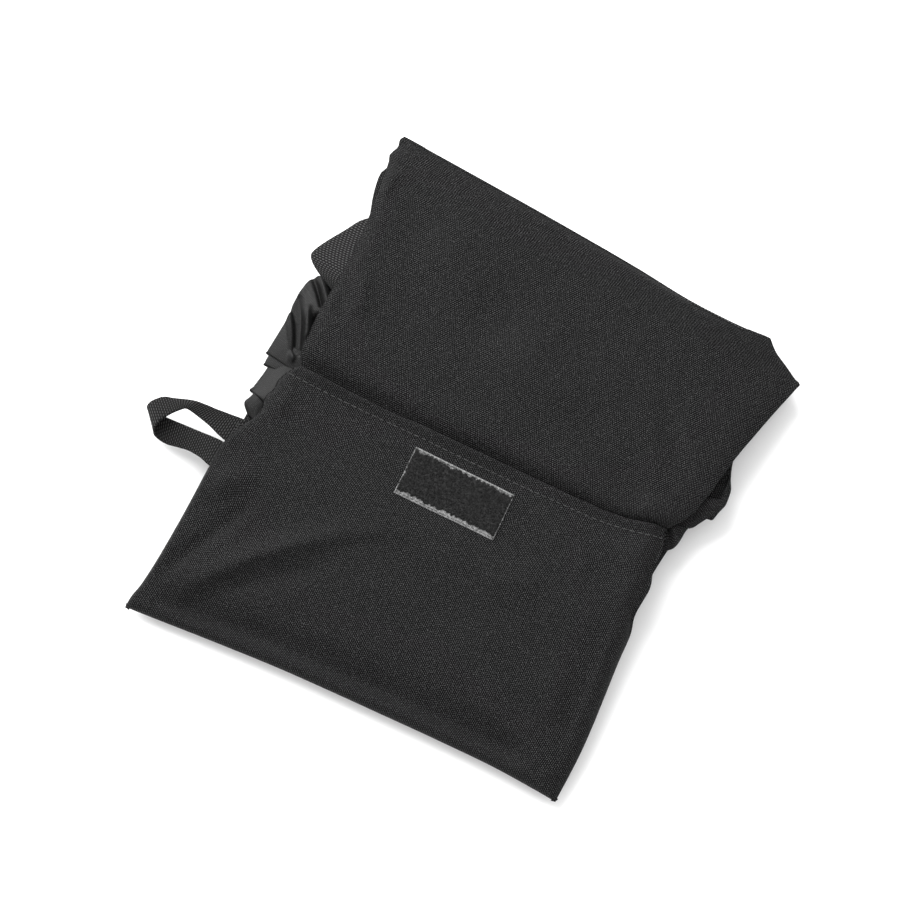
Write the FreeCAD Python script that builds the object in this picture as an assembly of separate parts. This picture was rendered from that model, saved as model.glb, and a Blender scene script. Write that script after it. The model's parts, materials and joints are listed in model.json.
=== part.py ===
import FreeCAD, Part

import math
import os

# A studio sandbag of the saddle kind, empty and folded flat: two pouches joined by one back panel
# that folds over between them. The upper pouch lies on the lower one, back to back.
# Millimetres. X is the bag's width, Y runs along its length towards the saddle fold, Z is up.
# The origin is the middle of the underside, on the plane that the folded bag rests on.

# Driving dimensions
panel = 1.2          # one layer of coated cloth, with the air in its creases
hem_layer = 0.8      # cloth turned in along a free edge
tape = 0.6           # binding tape inside a seam
thread = 0.25        # how far a stitch stands up
spine_gap = 0.2      # half the space between the two back panels
slack = 1.4          # room between a gusset's pleats and the panel over them
mouth_gap = 1.0      # between the flap's free edge and the pouch's hem
hem_depth = 12.0
flap_hem_depth = 10.0
patch_height = 0.7   # hook-and-loop tape, above the cloth it is sewn on
stitch_length = 3.2
stitch_pitch = 4.4
stitch_width = 0.7
hem_stitch_inset = 5.5
patch_stitch_inset = 1.8
webbing = 2.4        # the handle's webbing, folded double in places
handle_level = 0.7   # clear space between the back panel and the stowed handle
loop_webbing = 2.4   # the narrow webbing of the side loop
loop_slope = 14.0    # degrees that the side loop hangs down from its seam

flap_seam = 128.0    # y where the flap is sewn along the bag's shoulder
fold_end = 138.0     # y where the cloth folds over at the saddle
handle_root = 112.0  # y where the handle leaves its sewn ends
handle_end_top = 131.0
skew = 0.03          # the layers' heights run up to the right by this slope, as the bottom edge does
loop_root = (-119.5, -46.6, 15.0)

# The side view of the folded stack: y, height of the middle surface, height of the top.
# It is thin at the pouches' folded bottoms and thickest over the pleats at the mouth.
stack = [(-145, 3.6, 7.2), (-130, 5.4, 11.5), (-96, 8.4, 17.0), (-45, 10.8, 21.4),
         (5, 11.8, 23.4), (55, 12.0, 23.4), (105, 12.0, 21.4), (128, 12.0, 19.2), (142, 12.0, 16.0)]

# Plan outlines, (x, y), each with only the corners that its shape needs
hem_left = (-101.0, 2.8)
hem_middle = (-1.0, 10.8)
hem_right = (98.8, 19.9)
front_sides = {"left": [(-117.7, -142.0), (-114.2, -121.0), (-118.2, -76.4), (-117.6, -61.0),
                        (-110.5, -38.0), (-106.0, -20.0)],
               "right": [(105.0, 3.0), (109.5, -23.0), (114.0, -72.5), (119.3, -126.4)]}
bottom_middle = (2.6, -137.6)
back_outline = [(-117.0, -141.0), (-113.5, -121.0), (-117.0, -76.0), (-117.0, 118.0),
                (-115.5, fold_end), (101.0, fold_end - 4), (119.0, 121.0), (116.0, 90.0),
                (117.0, -60.0), (118.5, -126.0), (2.6, -137.0)]
flap_sides = {"left": [(-104.3, 30.5), (-106.2, 56.5), (-110.5, 90.2), (-113.5, flap_seam)],
              "right": [(119.0, flap_seam - 6), (116.9, 97.5), (112.7, 79.4), (107.5, 42.3), (97.5, 26.5)]}
shoulder_outline = [(-114.0, flap_seam + 0.6), (-115.2, fold_end - 0.3), (101.0, fold_end - 4),
                    (120.8, 122.4)]
shoulder_edge = [(-115.2, fold_end - 0.3), (-115.1, fold_end - 1.5), (101.0, fold_end - 5.2),
                 (101.0, fold_end - 4)]
gusset_outlines = {"left": [(-110.0, -124.0), (-110.0, -32.0), (-118.0, -26.0), (-119.5, 25.0),
                            (-118.0, 40.0), (-90.0, 40.0), (-88.0, -124.0)],
                   "right": [(88.0, -116.0), (111.0, -116.0), (103.0, 2.0), (110.0, 27.5), (120.0, 43.6),
                             (113.5, 66.0), (110.0, 78.0), (88.0, 78.0)]}
side_tape_outlines = {"left": [(-87.5, -124.0), (-87.5, -8.0), (-80.0, -8.0), (-80.0, -124.0)],
                      "right": [(87.5, -118.0), (87.5, 2.0), (80.0, 2.0), (80.0, -118.0)]}
bottom_tape_outline = [(-112.0, -139.0), (2.6, -135.0), (114.0, -125.0), (114.0, -117.0),
                       (2.6, -127.0), (-112.0, -131.0)]
loop_patch_outline = [(-29.0, -4.3), (24.9, -2.6), (26.2, -27.6), (-27.8, -29.3)]
hook_patch_outline = [(-27.5, 25.0), (26.5, 28.0), (25.2, 53.0), (-28.8, 50.0)]
handle_outline = [(-84.0, handle_root), (-104.0, 100.0), (-118.0, 82.0), (-123.5, 68.0), (-122.5, 57.0),
                  (-108.0, 47.0), (-60.0, 42.0), (0.0, 54.0), (52.0, 74.0), (84.0, 100.0),
                  (84.0, handle_root), (46.0, handle_root), (34.0, 102.0), (-4.0, 88.0), (-50.0, 78.0),
                  (-62.0, 86.0), (-46.0, handle_root)]
handle_ends = [(-65.0, 38.0), (65.0, 38.0)]          # middle x and width of each sewn end
loop_outline = [(-120.0, -60.2), (-142.0, -59.2), (-149.5, -56.4), (-158.4, -48.0), (-157.0, -43.6),
                (-152.7, -39.5), (-141.5, -36.6), (-130.7, -34.0), (-120.0, -33.0)]
loop_eye = [(-145.5, -47.3), (-139.4, -39.8), (-124.0, -44.0), (-124.0, -46.6)]
loop_tab_outline = [(-110.0, -60.6), (-118.0, -60.6), (-118.0, -32.8), (-110.0, -32.8)]

reach = 140.0        # half the width of the bars that layers are cut from
far_up = 60.0


def vector(x, y, z):
    return FreeCAD.Vector(x, y, z)


def height(y, column):
    # a stack profile's height at y, straight between its stations
    for low, high in zip(stack, stack[1:]):
        if y <= high[0]:
            share = (y - low[0]) / (high[0] - low[0])
            return low[column] + share * (high[column] - low[column])
    return stack[-1][column]


def from_shell(pouch, depth):
    # the surface that lies depth inside a pouch's outer face
    if pouch == "upper":
        return lambda y: height(y, 2) - depth
    return lambda y: depth


def from_spine(pouch, depth):
    # the surface that lies depth inside a pouch's back
    if pouch == "upper":
        return lambda y: height(y, 1) + spine_gap + depth
    return lambda y: height(y, 1) - spine_gap - depth


def plate(outline, low, high):
    # a flat prism over a plan outline
    points = [vector(x, y, low) for x, y in outline]
    return Part.Face(Part.makePolygon(points + points[:1])).extrude(vector(0, 0, high - low))


def layer(outline, face_a, face_b):
    # a closed solid over a plan outline, between two surfaces that follow the stack's side view
    first = min(y - skew * x for x, y in outline)
    last = max(y - skew * x for x, y in outline)
    stations = [first] + [s[0] for s in stack if first < s[0] < last] + [last]
    lean = -reach * skew
    under = [vector(-reach, y + lean, min(face_a(y), face_b(y))) for y in stations]
    over = [vector(-reach, y + lean, max(face_a(y), face_b(y))) for y in reversed(stations)]
    side = under + over
    bar = Part.Face(Part.makePolygon(side + side[:1])).extrude(vector(2 * reach, -2 * lean, 0))
    return bar.common(plate(outline, -far_up, far_up)).Solids[0]


def shifted(points, dy):
    return [(x, y + dy) for x, y in points]


def strip(edge, depth):
    # a plan strip of the given depth along one side of an edge
    return edge + list(reversed(shifted(edge, depth)))


def on_line(line, distance):
    # the point that lies distance along a broken line, and the direction there
    for a, b in zip(line, line[1:]):
        run = math.hypot(b[0] - a[0], b[1] - a[1])
        if distance <= run:
            share = distance / run
            point = (a[0] + share * (b[0] - a[0]), a[1] + share * (b[1] - a[1]))
            return point, math.atan2(b[1] - a[1], b[0] - a[0])
        distance -= run
    raise ValueError("a stitch lies past the end of its line")


def stitches(line, face_a, face_b):
    # a row of single stitches along a broken line, as separate solids
    total = sum(math.hypot(b[0] - a[0], b[1] - a[1]) for a, b in zip(line, line[1:]))
    count = int((total - stitch_length) // stitch_pitch)
    row = []
    for i in range(count):
        (x, y), turn = on_line(line, stitch_length + i * stitch_pitch)
        along = (math.cos(turn) * stitch_length / 2, math.sin(turn) * stitch_length / 2)
        across = (-math.sin(turn) * stitch_width / 2, math.cos(turn) * stitch_width / 2)
        corners = [(x + a * along[0] + b * across[0], y + a * along[1] + b * across[1])
                   for a, b in ((-1, -1), (1, -1), (1, 1), (-1, 1))]
        row.append(layer(corners, face_a, face_b))
    return row


def inset(outline, distance):
    # a four-cornered outline drawn in towards its middle
    cx = sum(x for x, y in outline) / len(outline)
    cy = sum(y for x, y in outline) / len(outline)
    return [(x - math.copysign(distance, x - cx), y - math.copysign(distance, y - cy)) for x, y in outline]


def patch_seam(outline):
    # the stitch lines round a patch, broken at its corners
    corners = inset(outline, patch_stitch_inset)
    return [[a, b] for a, b in zip(corners, corners[1:] + corners[:1])]


def save(node, shape):
    shape = Part.makeCompound(shape) if isinstance(shape, list) else shape
    shape.exportStep("parts/" + node + ".step")
    print(node, "volume", round(shape.Volume), "valid", shape.isValid())


def pouch_shell(pouch):
    # back panel, pleated gussets, seam tapes and the shoulder that carries the flap
    save("back_panel_" + pouch, layer(back_outline, from_spine(pouch, 0), from_spine(pouch, panel)))
    for side in ("left", "right"):
        save("gusset_" + side + "_" + pouch,
             layer(gusset_outlines[side], from_spine(pouch, panel), from_shell(pouch, panel + slack)))
        save("side_tape_" + side + "_" + pouch,
             layer(side_tape_outlines[side], from_spine(pouch, panel), from_spine(pouch, panel + tape)))
    save("bottom_tape_" + pouch,
         layer(bottom_tape_outline, from_spine(pouch, panel), from_spine(pouch, panel + tape)))
    face = layer(shoulder_outline, from_shell(pouch, 0), from_shell(pouch, panel))
    wall = layer(shoulder_edge, from_shell(pouch, panel), from_spine(pouch, panel))
    save("shoulder_" + pouch, face.fuse(wall).removeSplitter().Solids[0])


def pouch_front(pouch):
    # front panel with its turned hem, stitching and loop patch
    hem = [hem_left, hem_middle, hem_right]
    outline = front_sides["left"] + hem + front_sides["right"] + [bottom_middle]
    outer = -patch_height if pouch == "upper" else 0.0
    inner = panel - patch_height
    patch = layer(loop_patch_outline, from_shell(pouch, outer), from_shell(pouch, inner))
    save("front_panel_" + pouch,
         layer(outline, from_shell(pouch, 0), from_shell(pouch, panel)).cut(patch).Solids[0])
    save("mouth_hem_" + pouch,
         layer(strip(hem, -hem_depth), from_shell(pouch, panel), from_shell(pouch, panel + hem_layer)))
    save("loop_patch_" + pouch, patch)
    # stitches show on the top of the upper pouch; under the lower one they are drawn flush, so they
    # are made on the inside
    hem_seat = 0.0 if pouch == "upper" else panel + hem_layer + thread
    patch_seat = outer if pouch == "upper" else panel + thread
    line = shifted(hem, -hem_stitch_inset)
    save("hem_stitching_" + pouch,
         stitches(line, from_shell(pouch, hem_seat - thread), from_shell(pouch, hem_seat)))
    rows = []
    for side in patch_seam(loop_patch_outline):
        rows += stitches(side, from_shell(pouch, patch_seat - thread), from_shell(pouch, patch_seat))
    save("patch_stitching_" + pouch, rows)


def pouch_flap(pouch):
    # closing flap, its turned hem and the hook patch under its free end
    free = shifted([hem_left, hem_middle, hem_right], mouth_gap)
    free = [(free[0][0] + 1.0, free[0][1]), free[1], (free[2][0] - 6.0, free[2][1])]
    outline = free + list(reversed(flap_sides["right"])) + list(reversed(flap_sides["left"]))
    save("flap_" + pouch, layer(outline, from_shell(pouch, 0), from_shell(pouch, panel)))
    save("flap_hem_" + pouch,
         layer(strip(free, flap_hem_depth), from_shell(pouch, panel), from_shell(pouch, panel + hem_layer)))
    save("hook_patch_" + pouch,
         layer(hook_patch_outline, from_shell(pouch, panel), from_shell(pouch, panel + patch_height)))


def handle():
    # wide webbing, sewn to the upper back panel at both ends and stowed under the flap
    low = from_spine("upper", panel + handle_level)
    high = from_spine("upper", panel + handle_level + webbing)
    save("handle_webbing", layer(handle_outline, low, high))
    ends = []
    stitch_rows = []
    for middle, width in handle_ends:
        left = middle - width / 2
        right = middle + width / 2
        base = handle_root + 0.5
        end = [(left, base), (right, base), (right, handle_end_top), (left, handle_end_top)]
        ends.append(layer(end, from_spine("upper", panel), from_spine("upper", panel + tape * 2)))
        for seam in patch_seam(end):
            stitch_rows += stitches(seam, from_spine("upper", panel + tape * 2),
                                    from_spine("upper", panel + tape * 2 + thread))
    save("handle_sewn_ends", ends)
    save("handle_box_stitching", stitch_rows)


def side_loop():
    # narrow webbing loop at the upper pouch's left seam, with an open eye
    root = vector(*loop_root)
    low = loop_root[2] - loop_webbing / 2
    high = loop_root[2] + loop_webbing / 2
    strap = plate(loop_outline, low, high).cut(plate(loop_eye, low - 1, high + 1))
    strap.rotate(root, vector(0, 1, 0), -loop_slope)
    save("side_loop", strap.Solids[0])
    tab = plate(loop_tab_outline, low, high)
    save("side_loop_tab", tab)
    tack = stitches([(-114.5, -60.0), (-114.5, -33.4)], lambda y: high, lambda y: high + thread)
    save("side_loop_bartack", tack)


os.makedirs("parts", exist_ok=True)
for name in ("lower", "upper"):
    pouch_shell(name)
    pouch_front(name)
    pouch_flap(name)
handle()
side_loop()
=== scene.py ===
import json
import math
import bpy
import numpy as np
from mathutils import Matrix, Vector, noise
from mathutils.bvhtree import BVHTree


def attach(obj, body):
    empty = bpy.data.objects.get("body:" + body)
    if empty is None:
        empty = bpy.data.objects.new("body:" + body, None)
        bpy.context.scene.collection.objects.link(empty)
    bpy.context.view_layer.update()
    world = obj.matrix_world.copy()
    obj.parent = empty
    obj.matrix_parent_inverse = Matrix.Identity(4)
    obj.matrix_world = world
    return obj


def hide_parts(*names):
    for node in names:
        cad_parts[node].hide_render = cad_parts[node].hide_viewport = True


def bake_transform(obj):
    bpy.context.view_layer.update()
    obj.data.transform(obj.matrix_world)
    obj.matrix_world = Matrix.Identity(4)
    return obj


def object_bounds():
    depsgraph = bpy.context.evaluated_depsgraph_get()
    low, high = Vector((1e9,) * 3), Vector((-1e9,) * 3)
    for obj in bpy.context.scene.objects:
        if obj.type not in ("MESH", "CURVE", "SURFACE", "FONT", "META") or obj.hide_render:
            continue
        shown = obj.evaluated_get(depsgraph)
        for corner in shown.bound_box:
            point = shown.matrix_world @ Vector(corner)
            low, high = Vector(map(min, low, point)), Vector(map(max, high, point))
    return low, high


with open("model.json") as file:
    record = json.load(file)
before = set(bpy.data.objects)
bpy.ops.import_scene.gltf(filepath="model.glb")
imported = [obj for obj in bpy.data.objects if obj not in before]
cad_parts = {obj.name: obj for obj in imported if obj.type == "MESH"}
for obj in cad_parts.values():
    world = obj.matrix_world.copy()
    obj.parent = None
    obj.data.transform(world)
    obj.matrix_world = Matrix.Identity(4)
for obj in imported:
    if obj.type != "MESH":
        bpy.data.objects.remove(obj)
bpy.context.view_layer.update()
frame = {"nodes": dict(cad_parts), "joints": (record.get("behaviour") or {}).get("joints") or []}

mm = 0.001
print("frame loaded,", len(frame["nodes"]), "nodes")

# camera, floor and light
viewSetup = {"azimuth": 29.0, "elevation": 72.0, "lens": 200.0, "distance": 2.533,
             "target": (-0.0124, 0.0071, 0.0)}
az = math.radians(viewSetup["azimuth"])
el = math.radians(viewSetup["elevation"])
backward = Vector((math.sin(az) * math.cos(el), -math.cos(az) * math.cos(el), math.sin(el)))
cameraData = bpy.data.cameras.new("camera")
cameraData.lens = viewSetup["lens"]
cameraData.sensor_width = 36.0
camera = bpy.data.objects.new("camera", cameraData)
camera.location = Vector(viewSetup["target"]) + backward * viewSetup["distance"]
camera.rotation_euler = backward.to_track_quat("Z", "Y").to_euler()
bpy.context.collection.objects.link(camera)
scene = bpy.context.scene
scene.camera = camera
scene.view_settings.view_transform = "Standard"

studio = {"floorSize": 6.0, "floorColour": (0.96, 0.96, 0.96, 1), "floorDrop": 0.2 * mm,
          "skyStrength": 1.06,
          "keyPower": 58.0, "keySize": 1.7, "keyPlace": (-1.17, 0.67, 1.2),
          "fillPower": 6.0, "fillSize": 1.6, "fillPlace": (1.2, -1.0, 1.5)}


def addAreaLight(name, place, power, size):
    light = bpy.data.lights.new(name, "AREA")
    light.energy = power
    light.size = size
    lamp = bpy.data.objects.new(name, light)
    lamp.location = place
    lamp.rotation_euler = Vector(place).to_track_quat("Z", "Y").to_euler()
    bpy.context.collection.objects.link(lamp)


addAreaLight("keyLight", studio["keyPlace"], studio["keyPower"], studio["keySize"])
addAreaLight("fillLight", studio["fillPlace"], studio["fillPower"], studio["fillSize"])
world = bpy.data.worlds.new("studioSky")
scene.world = world
world.use_nodes = True
world.node_tree.nodes["Background"].inputs["Color"].default_value = (1, 1, 1, 1)
world.node_tree.nodes["Background"].inputs["Strength"].default_value = studio["skyStrength"]

half = studio["floorSize"] / 2
floorMesh = bpy.data.meshes.new("floor")
floorCorners = [(-half, -half, 0), (half, -half, 0), (half, half, 0), (-half, half, 0)]
floorMesh.from_pydata(floorCorners, [], [(0, 1, 2, 3)])
floorPaint = bpy.data.materials.new("floorPaint")
floorPaint.use_nodes = True
floorPaint.node_tree.nodes["Principled BSDF"].inputs["Base Color"].default_value = studio["floorColour"]
floorPaint.node_tree.nodes["Principled BSDF"].inputs["Roughness"].default_value = 0.9
floorPaint.node_tree.nodes["Principled BSDF"].inputs["Specular IOR Level"].default_value = 0.1
floorMesh.materials.append(floorPaint)
floorObject = bpy.data.objects.new("floor", floorMesh)
floorObject.location.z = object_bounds()[0][2] - studio["floorDrop"]
bpy.context.collection.objects.link(floorObject)
print("camera, floor and lights are in place")


def wovenMaterial(name, weave):
    # threads over and under each other, read from the cloth's own flat coordinates in metres; the thread on
    # top is painted lit, and the thread under it and the gaps between threads are painted in shade
    material = bpy.data.materials.new(name)
    material.use_nodes = True
    tree = material.node_tree
    nodes = tree.nodes
    nodes.clear()

    output = nodes.new("ShaderNodeOutputMaterial")
    output.label = "finished cloth"
    shader = nodes.new("ShaderNodeBsdfPrincipled")
    shader.label = "dull yarn"
    flat = nodes.new("ShaderNodeUVMap")
    flat.label = "flat cloth, metres"
    threads = nodes.new("ShaderNodeMapping")
    threads.label = "thread counts"
    wander = nodes.new("ShaderNodeTexNoise")
    wander.label = "threads wander"
    wanderSize = nodes.new("ShaderNodeVectorMath")
    wanderSize.label = "how far they wander"
    wandering = nodes.new("ShaderNodeVectorMath")
    wandering.label = "wandering threads"
    split = nodes.new("ShaderNodeSeparateXYZ")
    split.label = "across and along"
    warp = nodes.new("ShaderNodeMath")
    warp.label = "warp wave"
    weft = nodes.new("ShaderNodeMath")
    weft.label = "weft wave"
    crossing = nodes.new("ShaderNodeMath")
    crossing.label = "over or under"
    dome = nodes.new("ShaderNodeMath")
    dome.label = "rows of thick thread"
    fullDome = nodes.new("ShaderNodeMath")
    fullDome.label = "narrow thread tops"
    overWarp = nodes.new("ShaderNodeMath")
    overWarp.label = "warp on top"
    # painted light and shade: where the warp lies on top it is painted lighter as if lit, and where the
    # weft lies on top it is painted darker as if shaded
    yarn = nodes.new("ShaderNodeMix")
    yarn.label = "painted light on warp, painted shade on weft"
    # painted shade: the cloth between the thread tops is painted near black, as shade falling between the
    # threads
    shadedGaps = nodes.new("ShaderNodeMix")
    shadedGaps.label = "painted shade between threads"
    mottle = nodes.new("ShaderNodeTexNoise")
    mottle.label = "uneven dye"
    mottleRange = nodes.new("ShaderNodeMapRange")
    mottleRange.label = "dye strength"
    dyed = nodes.new("ShaderNodeMix")
    dyed.label = "dyed yarn"
    slub = nodes.new("ShaderNodeTexNoise")
    slub.label = "slubs and lint"
    slubRange = nodes.new("ShaderNodeMapRange")
    slubRange.label = "few light specks"
    specked = nodes.new("ShaderNodeMix")
    specked.label = "lint on top"
    worn = nodes.new("ShaderNodeMapRange")
    worn.label = "polish on thread tops"
    crumple = nodes.new("ShaderNodeTexNoise")
    crumple.label = "soft crumple"
    threadBump = nodes.new("ShaderNodeBump")
    threadBump.label = "thread relief"
    crumpleBump = nodes.new("ShaderNodeBump")
    crumpleBump.label = "crumple relief"

    groups = [("threads", [flat, threads, wander, wanderSize, wandering, split, warp, weft, crossing, dome,
                           fullDome, overWarp]),
              ("colour", [yarn, shadedGaps, mottle, mottleRange, dyed, slub, slubRange, specked]),
              ("surface", [worn, crumple, threadBump, crumpleBump]), ("cloth", [shader, output])]
    for row, (title, members) in enumerate(groups):
        box = nodes.new("NodeFrame")
        box.label = title
        for column, node in enumerate(members):
            node.parent = box
            node.location = (column * 200 - 1500, -row * 340)

    flat.uv_map = "flatCloth"
    threads.inputs["Scale"].default_value = (1 / weave["warpPitch"], 1 / weave["weftPitch"], 1)
    wander.inputs["Scale"].default_value = weave["wanderScale"]
    wander.inputs["Detail"].default_value = 2.0
    wanderSize.operation = "SCALE"
    wanderSize.inputs["Scale"].default_value = weave["wander"]
    wandering.operation = "ADD"
    for wave in (warp, weft):
        wave.operation = "SINE"
    crossing.operation = "MULTIPLY"
    dome.operation = "ABSOLUTE"
    fullDome.operation = "POWER"
    fullDome.inputs[1].default_value = weave["threadTop"]
    overWarp.operation = "MULTIPLY_ADD"
    overWarp.inputs[1].default_value = 0.5
    overWarp.inputs[2].default_value = 0.5
    for mix in (yarn, shadedGaps, dyed, specked):
        mix.data_type = "RGBA"
    # painted light on the warp where it lies on top, painted shade on the weft where it lies on top
    yarn.inputs["A"].default_value = (*weave["shadedWeftColour"], 1)
    yarn.inputs["B"].default_value = (*weave["litWarpColour"], 1)
    # painted shade colour between the threads
    shadedGaps.inputs["A"].default_value = (*weave["gapShadeColour"], 1)
    mottle.inputs["Scale"].default_value = weave["mottleScale"]
    mottle.inputs["Detail"].default_value = 6.0
    mottleRange.inputs["From Min"].default_value = weave["mottleRange"][0]
    mottleRange.inputs["From Max"].default_value = weave["mottleRange"][1]
    mottleRange.inputs["To Min"].default_value = 0.0
    mottleRange.inputs["To Max"].default_value = weave["mottle"]
    dyed.inputs["B"].default_value = (*weave["mottleColour"], 1)
    slub.inputs["Scale"].default_value = weave["lintScale"]
    slub.inputs["Detail"].default_value = 3.0
    slubRange.inputs["From Min"].default_value = weave["lintRange"][0]
    slubRange.inputs["From Max"].default_value = weave["lintRange"][1]
    slubRange.inputs["To Max"].default_value = weave["lint"]
    specked.inputs["B"].default_value = (*weave["lintColour"], 1)
    worn.inputs["To Min"].default_value = weave["roughness"] + weave["polish"]
    worn.inputs["To Max"].default_value = weave["roughness"]
    crumple.inputs["Scale"].default_value = weave["crumpleScale"]
    crumple.inputs["Detail"].default_value = 4.0
    threadBump.inputs["Strength"].default_value = weave["relief"]
    threadBump.inputs["Distance"].default_value = weave["reliefDepth"]
    crumpleBump.inputs["Strength"].default_value = 0.5
    crumpleBump.inputs["Distance"].default_value = weave["crumpleDepth"]
    shader.inputs["Specular IOR Level"].default_value = weave["specular"]
    shader.inputs["Sheen Weight"].default_value = weave["sheen"]
    shader.inputs["Sheen Roughness"].default_value = 0.45

    tree.links.new(flat.outputs["UV"], threads.inputs["Vector"])
    tree.links.new(flat.outputs["UV"], wander.inputs["Vector"])
    tree.links.new(wander.outputs["Color"], wanderSize.inputs[0])
    tree.links.new(threads.outputs["Vector"], wandering.inputs[0])
    tree.links.new(wanderSize.outputs["Vector"], wandering.inputs[1])
    tree.links.new(wandering.outputs["Vector"], split.inputs["Vector"])
    tree.links.new(split.outputs["X"], warp.inputs[0])
    tree.links.new(split.outputs["Y"], weft.inputs[0])
    tree.links.new(warp.outputs[0], crossing.inputs[0])
    tree.links.new(weft.outputs[0], crossing.inputs[1])
    tree.links.new(warp.outputs[0], dome.inputs[0])
    tree.links.new(dome.outputs[0], fullDome.inputs[0])
    tree.links.new(crossing.outputs[0], overWarp.inputs[0])
    tree.links.new(overWarp.outputs[0], yarn.inputs["Factor"])
    tree.links.new(fullDome.outputs[0], shadedGaps.inputs["Factor"])
    tree.links.new(yarn.outputs["Result"], shadedGaps.inputs["B"])
    tree.links.new(flat.outputs["UV"], mottle.inputs["Vector"])
    tree.links.new(mottle.outputs["Fac"], mottleRange.inputs["Value"])
    tree.links.new(mottleRange.outputs["Result"], dyed.inputs["Factor"])
    tree.links.new(shadedGaps.outputs["Result"], dyed.inputs["A"])
    tree.links.new(flat.outputs["UV"], slub.inputs["Vector"])
    tree.links.new(slub.outputs["Fac"], slubRange.inputs["Value"])
    tree.links.new(slubRange.outputs["Result"], specked.inputs["Factor"])
    tree.links.new(dyed.outputs["Result"], specked.inputs["A"])
    tree.links.new(specked.outputs["Result"], shader.inputs["Base Color"])
    tree.links.new(fullDome.outputs[0], worn.inputs["Value"])
    tree.links.new(worn.outputs["Result"], shader.inputs["Roughness"])
    tree.links.new(flat.outputs["UV"], crumple.inputs["Vector"])
    tree.links.new(crumple.outputs["Fac"], crumpleBump.inputs["Height"])
    tree.links.new(fullDome.outputs[0], threadBump.inputs["Height"])
    tree.links.new(crumpleBump.outputs["Normal"], threadBump.inputs["Normal"])
    tree.links.new(threadBump.outputs["Normal"], shader.inputs["Normal"])
    tree.links.new(shader.outputs["BSDF"], output.inputs["Surface"])
    return material


def grey(level, tint=0.0):
    return (level, level, level * (1 + tint))


# a pitch here is the real spacing of the threads over pi, because each wave runs in radians
perRadian = mm / math.pi
# each weave's warp, weft and gap colours carry painted light and shade: lit thread tops, shaded threads
# under them, and painted shade between threads
clothWeave = {"warpPitch": 0.94 * perRadian, "weftPitch": 0.64 * perRadian, "threadTop": 9.0,
              "wander": 0.5, "wanderScale": 60.0, "litWarpColour": grey(0.104, 0.02),
              "shadedWeftColour": grey(0.004, 0.02), "gapShadeColour": grey(0.0006),
              "mottle": 0.74, "mottleScale": 2300.0, "mottleRange": (0.36, 0.64),
              "mottleColour": grey(0.0025, 0.03), "lint": 0.7, "lintScale": 1900.0,
              "lintRange": (0.58, 0.78), "lintColour": grey(0.18), "roughness": 0.42, "polish": 0.12,
              "crumpleScale": 130.0, "crumpleDepth": 0.6 * mm, "relief": 0.5, "reliefDepth": 0.12 * mm,
              "specular": 0.03, "sheen": 0.0}
gussetWeave = dict(clothWeave, warpPitch=0.8 * perRadian, weftPitch=0.6 * perRadian, threadTop=2.4,
                   litWarpColour=grey(0.033), shadedWeftColour=grey(0.008), gapShadeColour=grey(0.0015), mottle=0.6,
                   lint=0.2, relief=0.3, crumpleScale=220.0, crumpleDepth=0.4 * mm, specular=0.13,
                   roughness=0.36)
webbingWeave = dict(clothWeave, warpPitch=1.25 * perRadian, weftPitch=0.95 * perRadian, wander=0.4,
                    litWarpColour=grey(0.145), shadedWeftColour=grey(0.003), mottle=0.4, threadTop=4.5,
                    specular=0.11, lint=0.2, relief=0.9, reliefDepth=0.35 * mm, crumpleDepth=0.3 * mm,
                    roughness=0.5)
loopWeave = dict(webbingWeave, warpPitch=1.2 * perRadian, weftPitch=1.05 * perRadian,
                 litWarpColour=grey(0.085), shadedWeftColour=grey(0.004), threadTop=4.0, specular=0.09)
tapeWeave = dict(clothWeave, warpPitch=0.9 * perRadian, weftPitch=0.4 * perRadian, threadTop=2.0,
                 litWarpColour=grey(0.020), shadedWeftColour=grey(0.012), mottle=0.5, specular=0.05)
selvageWeave = dict(clothWeave, warpPitch=0.7 * perRadian, weftPitch=0.5 * perRadian, wander=2.2,
                    threadTop=1.0, litWarpColour=grey(0.43), shadedWeftColour=grey(0.26), gapShadeColour=grey(0.09),
                    mottle=0.8, mottleScale=700.0, mottleColour=grey(0.055), lint=0.4,
                    lintColour=grey(0.36), roughness=0.8, sheen=0.1)
shellCloth = wovenMaterial("shellCloth", clothWeave)
gussetCloth = wovenMaterial("gussetCloth", gussetWeave)
ribbedWebbing = wovenMaterial("ribbedWebbing", webbingWeave)
loopWebbing = wovenMaterial("loopWebbing", loopWeave)
bindingTape = wovenMaterial("bindingTape", tapeWeave)
paleSelvage = wovenMaterial("paleSelvage", selvageWeave)


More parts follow.
